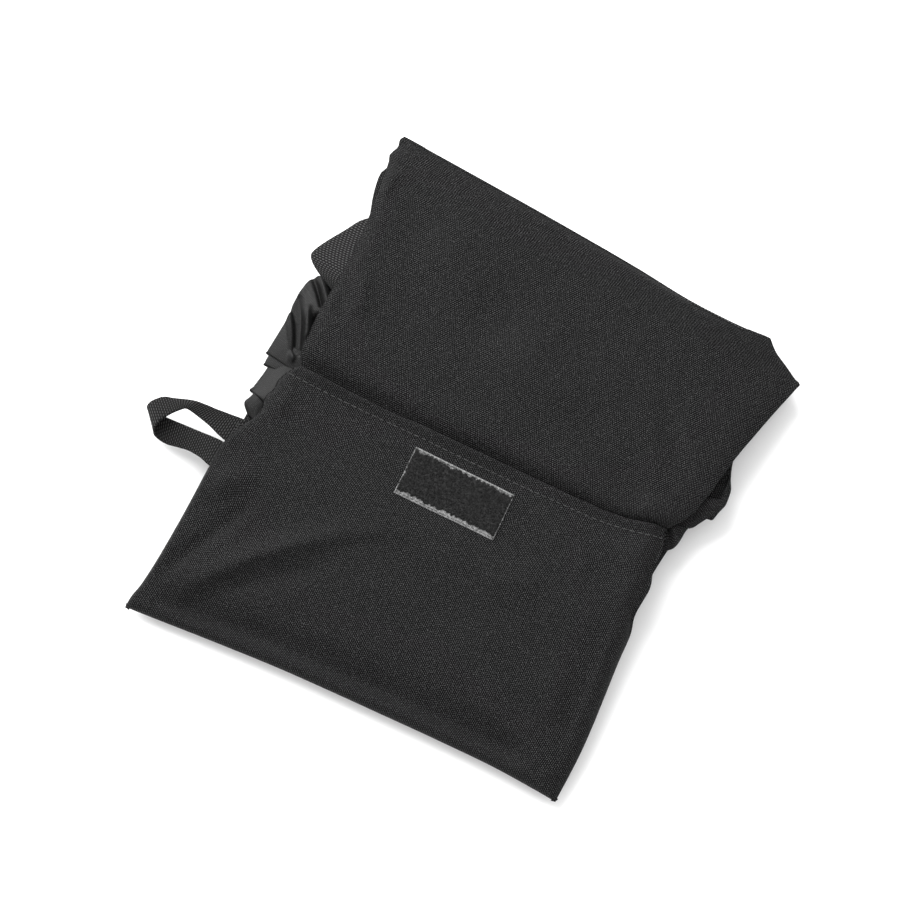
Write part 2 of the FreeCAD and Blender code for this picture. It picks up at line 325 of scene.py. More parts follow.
def fibreMaterial(name, fibre):
    # yarn or pile without a flat pattern of its own, read from Object coordinates
    material = bpy.data.materials.new(name)
    material.use_nodes = True
    tree = material.node_tree
    nodes = tree.nodes
    nodes.clear()

    output = nodes.new("ShaderNodeOutputMaterial")
    output.label = "finished fibre"
    shader = nodes.new("ShaderNodeBsdfPrincipled")
    shader.label = "fibre"
    place = nodes.new("ShaderNodeTexCoord")
    place.label = "place on the bag"
    clumps = nodes.new("ShaderNodeTexNoise")
    clumps.label = "clumps of fibre"
    clumpRange = nodes.new("ShaderNodeMapRange")
    clumpRange.label = "clump contrast"
    shade = nodes.new("ShaderNodeMix")
    shade.label = "fibre shades"
    strands = nodes.new("ShaderNodeTexVoronoi")
    strands.label = "single strands"
    relief = nodes.new("ShaderNodeBump")
    relief.label = "strand relief"

    groups = [("place", [place, clumps, clumpRange]), ("colour", [shade]), ("surface", [strands, relief]),
              ("fibre", [shader, output])]
    for row, (title, members) in enumerate(groups):
        box = nodes.new("NodeFrame")
        box.label = title
        for column, node in enumerate(members):
            node.parent = box
            node.location = (column * 220 - 900, -row * 320)

    clumps.inputs["Scale"].default_value = fibre["clumpScale"]
    clumps.inputs["Detail"].default_value = 5.0
    clumpRange.inputs["From Min"].default_value = 0.35
    clumpRange.inputs["From Max"].default_value = 0.7
    shade.data_type = "RGBA"
    shade.inputs["A"].default_value = (*fibre["dark"], 1)
    shade.inputs["B"].default_value = (*fibre["light"], 1)
    strands.inputs["Scale"].default_value = fibre["strandScale"]
    relief.inputs["Strength"].default_value = fibre["relief"]
    relief.inputs["Distance"].default_value = fibre["reliefDepth"]
    shader.inputs["Roughness"].default_value = fibre["roughness"]
    shader.inputs["Specular IOR Level"].default_value = fibre["specular"]
    shader.inputs["Sheen Weight"].default_value = fibre["sheen"]

    tree.links.new(place.outputs["Object"], clumps.inputs["Vector"])
    tree.links.new(clumps.outputs["Fac"], clumpRange.inputs["Value"])
    tree.links.new(clumpRange.outputs["Result"], shade.inputs["Factor"])
    tree.links.new(shade.outputs["Result"], shader.inputs["Base Color"])
    tree.links.new(place.outputs["Object"], strands.inputs["Vector"])
    tree.links.new(strands.outputs["Distance"], relief.inputs["Height"])
    tree.links.new(relief.outputs["Normal"], shader.inputs["Normal"])
    tree.links.new(shader.outputs["BSDF"], output.inputs["Surface"])
    return material


darkPile = fibreMaterial("darkPile", {"dark": grey(0.0035), "light": grey(0.030), "clumpScale": 1100.0,
                                      "strandScale": 2600.0, "relief": 0.9, "reliefDepth": 0.25 * mm,
                                      "roughness": 0.85, "specular": 0.18, "sheen": 0.03})
seamThread = fibreMaterial("seamThread", {"dark": grey(0.028), "light": grey(0.072), "clumpScale": 900.0,
                                          "strandScale": 4200.0, "relief": 0.6, "reliefDepth": 0.1 * mm,
                                          "roughness": 0.6, "specular": 0.18, "sheen": 0.05})
print("materials are made")

# side view of the folded stack that every layer follows, all mm: distance along the bag, height
# between the pouches, height of the top
stack = {"run": [-145, -130, -96, -45, 5, 55, 105, 128, 142],
         "middle": [3.6, 5.4, 8.4, 10.8, 11.8, 12.0, 12.0, 12.0, 12.0],
         "top": [8.8, 11.6, 17.0, 21.4, 23.0, 22.6, 20.4, 18.2, 15.0], "skew": 0.03, "soften": 7.0}


def stackHeight(x, y, column):
    along = y - stack["skew"] * x
    steps = np.linspace(-stack["soften"], stack["soften"], 7)
    return sum(np.interp(along + step, stack["run"], stack[column]) for step in steps) / len(steps)


def curveSpans(points, perSpan):
    # points of a smooth curve through the given ones, perSpan of them from each point to the next
    padded = np.concatenate([2 * points[:1] - points[1:2], points, 2 * points[-1:] - points[-2:-1]])
    rows = []
    for a, b, c, d in zip(padded, padded[1:], padded[2:], padded[3:]):
        for t in np.linspace(0, 1, perSpan, endpoint=False):
            rows.append(0.5 * (2 * b + (c - a) * t + (2 * a - 5 * b + 4 * c - d) * t**2
                               + (3 * b - a - 3 * c + d) * t**3))
    return np.array(rows + [points[-1]])


def smoothLine(points, count):
    # a curve through a few given points, sampled at even distances
    points = np.array(points, float)
    dense = curveSpans(points, 24)
    run = np.concatenate([[0], np.cumsum(np.linalg.norm(np.diff(dense[:, :2], axis=0), axis=1))])
    wanted = np.linspace(0, run[-1], count) if np.isscalar(count) else np.array(count) * run[-1]
    return np.stack([np.interp(wanted, run, dense[:, k]) for k in range(points.shape[1])], axis=1)


def clusteredSteps(length, step, edge, edgeStep):
    # shares from 0 to 1 with finer steps near both ends
    fine = list(np.arange(0, edge, edgeStep))
    middle = list(np.linspace(edge, length - edge, max(3, int((length - 2 * edge) / step))))
    return np.array(fine + middle + [length - f for f in reversed(fine)]) / length


def planGrid(bottom, top, left, right, across, along):
    # a plan surface between four edge curves; left and right run from bottom to top
    low = smoothLine(bottom, across)
    high = smoothLine(top, across)
    west = smoothLine(left, along)
    east = smoothLine(right, along)
    u = across[None, :, None]
    v = along[:, None, None]
    corners = ((1 - u) * (1 - v) * low[0] + u * (1 - v) * low[-1]
               + (1 - u) * v * high[0] + u * v * high[-1])
    return (1 - v) * low[None] + v * high[None] + (1 - u) * west[:, None] + u * east[:, None] - corners


def sculpted(x, y, folds):
    # height of ridges and creases, each a line with a rise, a width on either side, and soft ends
    total = np.zeros_like(x)
    for fold in folds:
        line = smoothLine(fold["line"], 24)
        best = np.full(x.shape, 1e9)
        side = np.ones_like(x)
        share = np.zeros_like(x)
        for k, (a, b) in enumerate(zip(line, line[1:])):
            d = b - a
            t = np.clip(((x - a[0]) * d[0] + (y - a[1]) * d[1]) / (d @ d), 0, 1)
            gap = np.hypot(x - a[0] - t * d[0], y - a[1] - t * d[1])
            nearer = gap < best
            best = np.where(nearer, gap, best)
            side = np.where(nearer, np.sign(d[0] * (y - a[1]) - d[1] * (x - a[0])), side)
            share = np.where(nearer, (k + t) / (len(line) - 1), share)
        width = np.where(side > 0, fold["width"][0], fold["width"][1])
        fade = np.interp(share, [0, fold.get("fade", 0.3), 1 - fold.get("fadeOut", 0.3), 1],
                         [fold.get("start", 0), 1, 1, fold.get("end", 0)])
        total += fold["rise"] * np.exp(-(best / width) ** 2) * fade
    return total


def softWaves(x, y, size, depth, seed):
    # slow uneven waves of slack cloth
    flatX, flatY = x.ravel() / size, y.ravel() / size
    values = [noise.noise(Vector((a, b, seed))) for a, b in zip(flatX, flatY)]
    return depth * np.array(values).reshape(x.shape)


# the pouch underneath is a little smaller, so that the upper pouch lies over it, mm
lowerPouch = {"across": 0.978, "along": 0.972, "foldLine": 139.0, "coarse": 1.9, "panelClear": 1.9}


def toLowerPlan(line):
    # a plan line of the upper pouch, as it lies on the pouch underneath
    fold = lowerPouch["foldLine"]
    return [(x * lowerPouch["across"], fold - (fold - y) * lowerPouch["along"]) for x, y in line]


def toLower(grid, clear=0.5):
    # the same layer of the pouch underneath, turned over about the surface between the pouches
    x, y, z = grid[..., 0], grid[..., 1], grid[..., 2]
    middle = stackHeight(x, y, "middle")
    share = (z - middle) / np.maximum(stackHeight(x, y, "top") - middle, 1.0)
    turned = grid.copy()
    turned[..., 0] = x * lowerPouch["across"]
    turned[..., 1] = lowerPouch["foldLine"] - (lowerPouch["foldLine"] - y) * lowerPouch["along"]
    turned[..., 2] = np.maximum(middle - share * (middle - clear), clear - 0.1)
    return turned


def flatCoordinates(grid):
    # the cloth's flat coordinates: distance across each row and along each column, in metres
    acrossRun = np.zeros(grid.shape[:2])
    alongRun = np.zeros(grid.shape[:2])
    acrossRun[:, 1:] = np.cumsum(np.linalg.norm(np.diff(grid, axis=1), axis=2), axis=1)
    alongRun[1:, :] = np.cumsum(np.linalg.norm(np.diff(grid, axis=0), axis=2), axis=0)
    middleColumn = grid.shape[1] // 2
    acrossRun = acrossRun - acrossRun[:, middleColumn:middleColumn + 1]
    return np.stack([acrossRun, alongRun], axis=2) * mm


def gridPiece(name, grid, material, thickness=0.6, flipped=False, flat=None, turned=False):
    # one sheet of cloth from a grid of points in mm
    rows, columns = grid.shape[:2]
    index = np.arange(rows * columns).reshape(rows, columns)
    quads = np.stack([index[:-1, :-1], index[:-1, 1:], index[1:, 1:], index[1:, :-1]], axis=2)
    quads = quads.reshape(-1, 4)
    if flipped:
        quads = quads[:, ::-1]
    mesh = bpy.data.meshes.new(name)
    mesh.from_pydata((grid.reshape(-1, 3) * mm).tolist(), [], quads.tolist())
    layer = mesh.uv_layers.new(name="flatCloth")
    flat = flatCoordinates(grid) if flat is None else flat
    flat = flat[..., ::-1] if turned else flat
    corner = np.zeros(len(mesh.loops), int)
    mesh.loops.foreach_get("vertex_index", corner)
    layer.data.foreach_set("uv", flat.reshape(-1, 2)[corner].ravel())
    mesh.polygons.foreach_set("use_smooth", [True] * len(mesh.polygons))
    mesh.materials.append(material)
    piece = bpy.data.objects.new(name, mesh)
    bpy.context.collection.objects.link(piece)
    if thickness:
        wall = piece.modifiers.new("clothThickness", "SOLIDIFY")
        wall.thickness = thickness * mm
        wall.offset = -1.0
        wall.use_quality_normals = True
    return piece


def rollUnder(grid, radius, rowsUnder, atEnd=True):
    # a free edge turned under itself: a half round, then the layer below
    rows = grid if atEnd else grid[::-1]
    edge, inner = rows[-1], rows[-2]
    outward = edge - inner
    outward[:, 2] = 0
    outward /= np.linalg.norm(outward, axis=1)[:, None]
    drop = np.array([0, 0, -1.0])
    turn = []
    for degrees in (30, 60, 90, 120, 150, 180):
        a = math.radians(degrees)
        turn.append(edge + outward * radius * math.sin(a) + drop * radius * (1 - math.cos(a)))
    under = [rows[-1 - k] + drop * 2 * radius for k in range(1, rowsUnder)]
    rolled = np.concatenate([rows, np.array(turn), np.array(under)])
    return rolled if atEnd else rolled[::-1]


def edgeFullness(distance, width, least):
    # how much of its full height a panel has near an edge that folds over
    near = np.clip(distance / width, 0, 1)
    return np.maximum(np.sqrt(1 - (1 - near) ** 2), least)


joints = {joint["name"]: joint for joint in frame["joints"]}


def seat(piece, body, nodes=()):
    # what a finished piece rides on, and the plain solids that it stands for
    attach(piece, body)
    if nodes:
        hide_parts(*nodes)


# front panels with their turned hem; all lengths in these dictionaries are mm
frontPanel = {
    "bottom": [(-116.6, -142.5), (-98, -140.3), (-63, -136.2), (-27, -132.6), (32, -128.6), (52, -127.4),
               (83, -126), (117, -126.4)],
    "hem": [(-101.5, 4.0), (-87, 3.4), (-54, 4.0), (-20, 5.7), (25, 8.0), (60, 10.0), (81, 12.8),
            (99.5, 18.8)],
    "left": [(-116.6, -142.5), (-116.4, -136), (-115, -128), (-114.2, -112), (-114.2, -90),
             (-115.1, -60.4), (-115.0, -47.6), (-110.4, -34.3), (-107.8, -29.5), (-106.2, -23.5),
             (-107.7, -17.2), (-106.1, -10.8), (-106.4, -6.8), (-105.2, -2.2), (-101.5, 4.0)],
    "right": [(117, -126.4), (116.6, -103), (115.3, -86.5), (113.6, -72), (111, -51), (109.6, -36),
              (107.2, -27), (107.2, -12), (104.6, -3.5), (103.4, 8.4), (99.5, 18.8)],
    "edgeWidth": {"left": 3.6, "right": 10.0, "bottom": 3.2},
    "least": {"left": 0.26, "right": 0.22, "bottom": 0.34},
    "acrossRun": 222, "alongRun": 145, "fineSide": 14, "fineEnd": 9, "step": 1.7, "edgeStep": 0.8,
    "hemRadius": 0.9, "hemRows": 9, "relief": 1.3, "settleWidth": 10, "settledHem": 0.7,
    "pleatsFrom": -45, "pleatsFade": 20, "fullOverPleats": 0.6, "lipRise": 0.9, "lipOverPleats": 2.6,
    "folds": [
        {"line": [(-113, -129), (-99.6, -103), (-90, -80), (-84, -64)], "rise": -1.5, "width": (5, 3.2)},
        {"line": [(-99, -129), (-87, -113), (-76, -99), (-64, -86), (-48, -71), (-29, -56), (-8, -46)],
         "rise": 2.6, "width": (7, 3.4), "fade": 0.15, "fadeOut": 0.5},
        {"line": [(-92, -127), (-80, -116), (-66, -102), (-50, -88), (-32, -73)], "rise": -1.3,
         "width": (4, 7)},
        {"line": [(-112, -78), (-101, -65), (-90, -53)], "rise": 1.5, "width": (8, 6)},
        {"line": [(-104, -132.5), (-73, -129), (-31, -124), (22, -119.5), (60, -117.5), (100, -118.5)],
         "rise": -3.0, "width": (8, 4.2), "fade": 0.08, "fadeOut": 0.08},
        {"line": [(30, -52), (51, -42), (64, -37)], "rise": 1.3, "width": (9, 11)},
        {"line": [(64, -9), (71, -14), (79, -21)], "rise": 0.7, "width": (2.2, 3.5)},
        {"line": [(96, -30), (101, -60), (104.5, -86), (109, -116)], "rise": -1.3, "width": (6, 8),
         "fade": 0.2},
        {"line": [(80, -72), (92, -82), (98, -96)], "rise": 0.9, "width": (7, 7)},
        {"line": [(-104, 0), (-99, -14), (-98, -28)], "rise": 1.2, "width": (6, 5), "start": 0.8},
        {"line": [(-100, 4), (-54, 4), (-20, 5.7), (25, 8), (60, 10), (81, 12.8), (98, 18)], "rise": 0.8,
         "width": (3, 3.5), "fade": 0.05, "fadeOut": 0.05, "start": 0.5, "end": 0.5},
        {"line": [(-101, 3), (-80, 3.2), (-46, 4.4)], "rise": 1.1, "width": (3, 4), "start": 0.8,
         "fade": 0.1},
        {"line": [(-52, 6), (-25, 7.5), (5, 8.5), (24, 9)], "rise": 1.3, "width": (9, 7)},
        {"line": [(60, 10), (80, 9), (96, 10)], "rise": -0.9, "width": (7, 7), "start": 0.3, "end": 0.4}],
    "waves": (28.0, 0.9, 3.1)}


def overPleats(y):
    # 0 along the closed sides, 1 where the front panel lies over the pleats
    return np.clip((y - frontPanel["pleatsFrom"]) / frontPanel["pleatsFade"], 0, 1)


def frontPanelGrid(panel, coarse):
    step = panel["step"] * coarse
    edgeStep = panel["edgeStep"] * coarse
    across = clusteredSteps(panel["acrossRun"], step, panel["fineSide"], edgeStep)
    along = clusteredSteps(panel["alongRun"], step, panel["fineEnd"], edgeStep)
    plan = planGrid(panel["bottom"], panel["hem"], panel["left"], panel["right"], across, along)
    x, y = plan[..., 0], plan[..., 1]
    reach = {"left": np.hypot(x - x[:, :1], y - y[:, :1]), "right": np.hypot(x - x[:, -1:], y - y[:, -1:]),
             "bottom": np.hypot(x - x[:1], y - y[:1])}
    full = 1.0
    for edge, distance in reach.items():
        full = full * edgeFullness(distance, panel["edgeWidth"][edge], panel["least"][edge])
    full = np.maximum(full, panel["fullOverPleats"] * overPleats(y))
    relief = panel["relief"] * sculpted(x, y, panel["folds"]) + softWaves(x, y, *panel["waves"])
    nearest = np.minimum(np.minimum(reach["left"], reach["right"]), reach["bottom"])
    settle = np.clip(nearest / panel["settleWidth"], 0, 1)
    settle = np.maximum(settle, panel["settledHem"] * np.clip((y + 4) / 6, 0, 1))
    middle = stackHeight(x, y, "middle")
    z = middle + (stackHeight(x, y, "top") - middle) * full + relief * settle
    grid = np.stack([x, y, z], axis=2)
    # the panel turns in below its side and bottom folds, down to the seam
    lips = []
    for rim, inside in ((grid[:, 0], grid[:, 6]), (grid[:, -1], grid[:, -7])):
        lip = rim * 0.55 + inside * 0.45
        lip[:, 2] = (stackHeight(lip[:, 0], lip[:, 1], "middle") + panel["lipRise"]
                     + panel["lipOverPleats"] * overPleats(lip[:, 1]))
        lips.append(lip)
    grid = np.concatenate([lips[0][:, None], grid, lips[1][:, None]], axis=1)
    lip = grid[0] * 0.5 + grid[5] * 0.5
    lip[:, 2] = stackHeight(lip[:, 0], lip[:, 1], "middle") + panel["lipRise"]
    return np.concatenate([lip[None], rollUnder(grid, panel["hemRadius"], panel["hemRows"])])


for pouch, coarse in (("upper", 1.0), ("lower", lowerPouch["coarse"])):
    grid = frontPanelGrid(frontPanel, coarse)
    if pouch == "lower":
        grid = toLower(grid, lowerPouch["panelClear"])
    piece = gridPiece(f"frontPanel_{pouch}", grid, shellCloth, flipped=pouch == "lower")
    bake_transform(piece)
    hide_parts(f"front_panel_{pouch}", f"mouth_hem_{pouch}")
print("front panels are made")

# closing flaps, from under the hem up to the saddle fold
flap = {
    "near": [(-101.5, -1.0), (-60, -1.5), (-20, 0), (40, 4), (70, 6), (92, 13)],
    "fold": [(-115.2, 139.4), (-71, 138.1), (-25, 136.5), (19, 134.4), (50, 132), (72, 131.8), (87, 132.5),
             (97, 133.6)],
    "left": [(-101.5, -1.0), (-102.2, 5), (-103.8, 16.4), (-105.4, 31.7), (-105.8, 48), (-105.8, 65),
             (-107.4, 80), (-108.6, 90), (-110.4, 103.5), (-112.0, 111), (-114.4, 120), (-115.4, 124),
             (-116.8, 127), (-116.2, 130), (-115.3, 133.2), (-116.3, 137), (-115.2, 139.4)],
    "right": [(92, 13), (99.2, 19.6), (105.5, 28.5), (109.0, 42), (110.2, 54.3), (111.8, 68), (114.4, 83.6),
              (117.6, 102), (120.3, 115), (121.2, 119.4), (118, 120.4), (110.6, 124.4), (103, 128.4),
              (97, 133.6)],
    "acrossRun": 222, "alongRun": 138, "fineSide": 10, "fineEnd": 9, "step": 1.7, "edgeStep": 0.8,
    "edgeRadius": 0.7, "edgeRows": 8, "foldWidth": 7.0, "leastFullness": 0.1,
    "tuck": 4.4, "tuckFrom": 6, "tuckWidth": 6.5, "sag": 1.2, "sagWidth": 26, "sagSide": 40,
    "droopLeft": (2.8, 2.4), "droopRight": (2.2, 5), "cornerDrop": 5.0, "cornerLine": 122,
    "cornerWidth": 34, "relief": 1.6, "settleWidth": 12, "leastRise": 2.3, "wallRise": 0.8,
    "wallInset": 0.4,
    "folds": [
        {"line": [(-108, 60), (-99, 46), (-94, 34)], "rise": -1.0, "width": (3.5, 4.5)},
        {"line": [(-97, 64), (-90, 50), (-85, 38)], "rise": 1.0, "width": (4, 5)},
        {"line": [(-80, 100), (-56, 89), (-30, 78)], "rise": 1.0, "width": (14, 12)},
        {"line": [(-20, 74), (14, 58), (40, 48)], "rise": 1.4, "width": (14, 16)},
        {"line": [(66, 80), (82, 60), (99, 40)], "rise": -0.9, "width": (5, 7)},
        {"line": [(86, 30), (93, 25), (101, 27)], "rise": 0.9, "width": (7, 6), "end": 0.6},
        {"line": [(60, 40), (74, 30), (86, 24)], "rise": -0.8, "width": (7, 6)},
        {"line": [(-106, 122), (-109, 112), (-107, 100)], "rise": 0.9, "width": (3, 5)}],
    "waves": (34.0, 0.9, 8.4)}


def flapGrid(shape, coarse):
    step = shape["step"] * coarse
    edgeStep = shape["edgeStep"] * coarse
    across = clusteredSteps(shape["acrossRun"], step, shape["fineSide"], edgeStep)
    along = clusteredSteps(shape["alongRun"], step, shape["fineEnd"], edgeStep)
    plan = planGrid(shape["near"], shape["fold"], shape["left"], shape["right"], across, along)
    x, y = plan[..., 0], plan[..., 1]
    fromNear = np.hypot(x - x[:1], y - y[:1])
    fromFold = np.hypot(x - x[-1:], y - y[-1:])
    fromLeft = np.hypot(x - x[:, :1], y - y[:, :1])
    fromRight = np.hypot(x - x[:, -1:], y - y[:, -1:])
    fromCorner = np.hypot(x - x[:, -1:].max(), y - shape["cornerLine"])
    middle = stackHeight(x, y, "middle")
    top = stackHeight(x, y, "top")
    full = edgeFullness(fromFold, shape["foldWidth"], shape["leastFullness"])
    # the cloth dips where it passes under the hem, sags behind it and droops at its sides and corner
    tuck = shape["tuck"] * np.exp(-(np.maximum(fromNear - shape["tuckFrom"], 0) / shape["tuckWidth"]) ** 2)
    sag = (shape["sag"] * np.exp(-(fromNear / shape["sagWidth"]) ** 2)
           * (1 + np.exp(-(fromLeft / shape["sagSide"]) ** 2)))
    droop = (shape["droopLeft"][0] * np.exp(-fromLeft / shape["droopLeft"][1])
             + shape["droopRight"][0] * np.exp(-fromRight / shape["droopRight"][1]))
    corner = shape["cornerDrop"] * np.exp(-fromCorner ** 2 / shape["cornerWidth"] ** 2)
    relief = shape["relief"] * sculpted(x, y, shape["folds"]) + softWaves(x, y, *shape["waves"])
    settle = np.clip(np.minimum(fromNear, fromFold) / shape["settleWidth"], 0, 1)
    z = middle + (top - middle - tuck - sag - droop - corner) * full + relief * settle
    grid = np.stack([x, y, np.maximum(z, middle + shape["leastRise"])], axis=2)
    wall = grid[-1] - [0, shape["wallInset"], 0]
    wall[:, 2] = stackHeight(grid[-1, :, 0], grid[-1, :, 1], "middle") + shape["wallRise"]
    grid = np.concatenate([grid, wall[None]])
    radius, rows = shape["edgeRadius"], shape["edgeRows"]
    sides = rollUnder(grid.transpose(1, 0, 2), radius, rows)
    sides = rollUnder(sides, radius, rows, atEnd=False)
    return rollUnder(sides.transpose(1, 0, 2), radius, rows, atEnd=False)


for pouch, coarse in (("upper", 1.0), ("lower", lowerPouch["coarse"])):
    grid = flapGrid(flap, coarse)
    if pouch == "lower":
        grid = toLower(grid)
    piece = gridPiece(f"flapCloth_{pouch}", grid, shellCloth, flipped=pouch == "lower", turned=True)
    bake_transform(piece)
    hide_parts(f"flap_{pouch}", f"flap_hem_{pouch}", f"shoulder_{pouch}")
print("flaps are made")

# back panels and the fold between the pouches
backPanel = {
    "bottom": [(-112, -135), (-60, -131), (0, -126.5), (60, -122.5), (112, -121)],
    "fold": [(-114.5, 133), (-40, 131.5), (30, 129), (70, 127), (96, 127)],
    "left": [(-112, -135), (-111.5, -100), (-112, -60), (-113, 0), (-114, 40), (-110, 70), (-109, 88),
             (-114, 103.5), (-116, 111), (-116.8, 117), (-115.0, 122.6), (-114.5, 133)],
    "right": [(112, -121), (111, -86), (107, -50), (104, -10), (106, 30), (108, 60), (110, 90),
              (108, 115), (96, 127)],
    "gap": 0.5, "waves": (22.0, 0.35, 5.7), "columns": 70, "rows": 84, "thickness": 0.45}


def backPanelGrid(shape, side):
    across = np.linspace(0, 1, shape["columns"])
    along = np.linspace(0, 1, shape["rows"])
    plan = planGrid(shape["bottom"], shape["fold"], shape["left"], shape["right"], across, along)
    x, y = plan[..., 0], plan[..., 1]
    z = stackHeight(x, y, "middle") + side * shape["gap"] + softWaves(x, y, *shape["waves"])
    return np.stack([x, y, z], axis=2)


for pouch, side in (("upper", 1), ("lower", -1)):
    grid = backPanelGrid(backPanel, side)
    piece = gridPiece(f"backPanel_{pouch}", grid, shellCloth, thickness=backPanel["thickness"],
                      flipped=side > 0)
    seat(piece, f"{pouch}_pouch", [f"back_panel_{pouch}"])

# the strip that runs round the saddle fold, from one back panel to the other
foldStrip = {
    "foldEdge": [(-110.5, 136.9), (-71, 135.6), (-25, 134.2), (19, 132.2), (50, 130.2), (72, 129.8),
                 (92, 130.0)],
    "backEdge": [(-110.5, 132.4), (-40, 131.5), (30, 129), (70, 127), (92, 126.6)],
    "columns": 70, "flatShares": (-0.6, 0.0, 0.33, 0.66), "radius": 0.55, "bend": 0.45}
foldEdge = smoothLine(foldStrip["foldEdge"], foldStrip["columns"])
backEdge = smoothLine(foldStrip["backEdge"], foldStrip["columns"])
level = stackHeight(foldEdge[:, 0], foldEdge[:, 1], "middle")
gap = backPanel["gap"]
rows = [np.column_stack([backEdge + (foldEdge - backEdge) * share, level - gap])
        for share in foldStrip["flatShares"]]
for degrees in (0, 30, 60, 90, 120, 150, 180):
    a = math.radians(degrees)
    rows.append(np.column_stack([foldEdge[:, 0], foldEdge[:, 1] + foldStrip["radius"] * math.sin(a),
                                 level - gap * math.cos(a)]))
rows += [np.column_stack([backEdge + (foldEdge - backEdge) * share, level + gap])
         for share in reversed(foldStrip["flatShares"])]
spine = gridPiece("spineFold", np.array(rows), shellCloth, thickness=backPanel["thickness"], flipped=True)
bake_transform(spine)
print("back panels are made")

# gusset pleats that show beside the mouth: each line runs from the hidden inner side to the outer
# fold, and the cloth goes from line to line
leftPleats = {
    "lines": [((-94, 58, 16), (-110, 57, 14)), ((-95, 50, 17.5), (-118.3, 50.2, 14.6)),
              ((-95, 42, 18), (-120.2, 42, 14.8)), ((-95, 34, 18.4), (-120.3, 34, 14.8)),
              ((-95, 26, 18.6), (-118.9, 27, 14.8)), ((-96, 17, 17.4), (-118.8, 17, 14.8)),
              ((-98, 9, 15.6), (-118.9, 10, 14.9)), ((-99, 2.6, 14.5), (-118.9, 5.0, 14.9)),
              ((-99, 3.2, 14.0), (-118.6, 5.8, 13.9)), ((-98, 12, 14.2), (-117.0, 12, 13.8)),
              ((-98, 12.6, 13.9), (-117.0, 12.4, 13.6)), ((-99, 3, 13.9), (-117.4, 2.5, 14.2)),
              ((-100, -0.6, 13.9), (-116.9, -0.8, 14.1)), ((-100, 0.2, 13.6), (-116.7, 0, 13.6)),
              ((-98, 6, 14.2), (-114.5, 6, 13.5)), ((-98, 6.4, 13.9), (-114.5, 6.3, 13.4)),
              ((-100, -4, 18.0), (-115.0, -4, 13.2)), ((-102, -11, 18.2), (-115.6, -10, 13.2)),
              ((-104, -19, 17.0), (-116.2, -15.8, 13.6)), ((-104, -18.4, 14.8), (-116.0, -15, 13.2)),
              ((-102, -9, 14.0), (-112, -8, 13.1)), ((-102, -9, 13.6), (-112, -8, 13.0)),
              ((-104, -19, 13.6), (-114.4, -18.5, 14.2)), ((-104.5, -24.5, 13.5), (-115.6, -23.6, 14.4)),
              ((-105, -30, 13.8), (-111.5, -28, 13.1))],
    "columns": 56,
    "folds": [
        {"line": [(-118.4, 50.2), (-112.8, 44.8), (-107.5, 39)], "rise": -3.4, "width": (1.2, 0.6),
         "start": 0.8, "end": 1, "region": 8},
        {"line": [(-116, 53), (-110, 47), (-103, 39)], "rise": 1.8, "width": (1.5, 1.6),
         "start": 0.6, "end": 1, "region": 8},
        {"line": [(-112, 54), (-106, 48), (-101, 43)], "rise": -3.2, "width": (2.2, 1.6),
         "start": 0.4, "end": 1, "region": 8},
        {"line": [(-113.5, 37), (-110, 30), (-106, 22)], "rise": 2.4, "width": (1.4, 2.0), "fadeOut": 0.1,
         "end": 1, "region": 8},
        {"line": [(-107.5, 35), (-104, 28), (-101, 22)], "rise": -3.4, "width": (2.4, 2.0), "end": 1,
         "region": 8},
        {"line": [(-120, 36.5), (-116, 30), (-111.5, 23), (-107, 13)], "rise": -4.6, "width": (2.2, 2.6),
         "start": 0.35, "end": 1, "region": 8},
        {"line": [(-119, 28), (-114.5, 22), (-110, 15), (-106, 8)], "rise": 2.6, "width": (1.0, 1.8),
         "start": 0.7, "fade": 0.1, "end": 0.6, "region": 8}],
    "sheet": (0.115, 0.024)}
rightPleats = {
    "lines": [((96, 74, 17), (109.5, 74, 15.4)), ((98, 66, 17), (111.6, 65.5, 15.6)),
              ((99, 60, 16.4), (114.6, 58.4, 14.6)), ((99, 53, 15.6), (117.2, 53.5, 14.2)),
              ((99, 46, 15.0), (118.4, 46.6, 14.0)), ((99, 40, 14.6), (117.9, 43, 13.8)),
              ((99, 33, 14.3), (116.2, 37, 13.6)), ((99, 33, 14.1), (116.2, 37, 13.5)),
              ((101, 40.6, 16.2), (118.0, 46.4, 14.9)), ((101, 40, 17.6), (118.2, 45.4, 16.2)),
              ((100, 35.5, 17.6), (117.4, 41.6, 15.9)), ((100, 31.4, 17.2), (116.2, 38.0, 15.2)),
              ((100, 30, 16.2), (114.2, 35.0, 14.6)), ((99, 26.5, 15.6), (111.6, 30.6, 14.0)),
              ((98, 24.5, 15.0), (109.0, 27.0, 13.5)), ((97, 27, 14.2), (105, 29, 13.2)),
              ((97, 26.6, 13.9), (105, 28.6, 13.1)), ((98, 22.8, 16.0), (107.8, 26.2, 14.2)),
              ((98, 20.6, 17.0), (107.6, 23.4, 14.4)), ((98, 15, 16.4), (107.0, 15, 14.2)),
              ((98, 10, 15.0), (103.6, 10.4, 13.6))],
    "columns": 46,
    "folds": [
        {"line": [(110.6, 66), (110.6, 54), (111.5, 43)], "rise": -2.8, "width": (3.4, 3.0), "start": 0.6,
         "end": 0.9, "region": 6},
        {"line": [(112.6, 62), (115.0, 55), (115.4, 46)], "rise": 0.8, "width": (0.9, 1.1), "region": 6},
        {"line": [(104, 33), (109, 35.4), (113.6, 39.4)], "rise": -0.8, "width": (1.4, 1.6), "region": 13},
        {"line": [(105, 27), (111, 31.6), (117, 39)], "rise": 0.6, "width": (1.0, 1.0), "region": 14},
        {"line": [(99, 20.5), (103.2, 16), (104.2, 11)], "rise": -3.2, "width": (1.6, 1.7), "start": 1,
         "end": 1, "region": 21}],
    "sheet": (0.075, 0.020)}
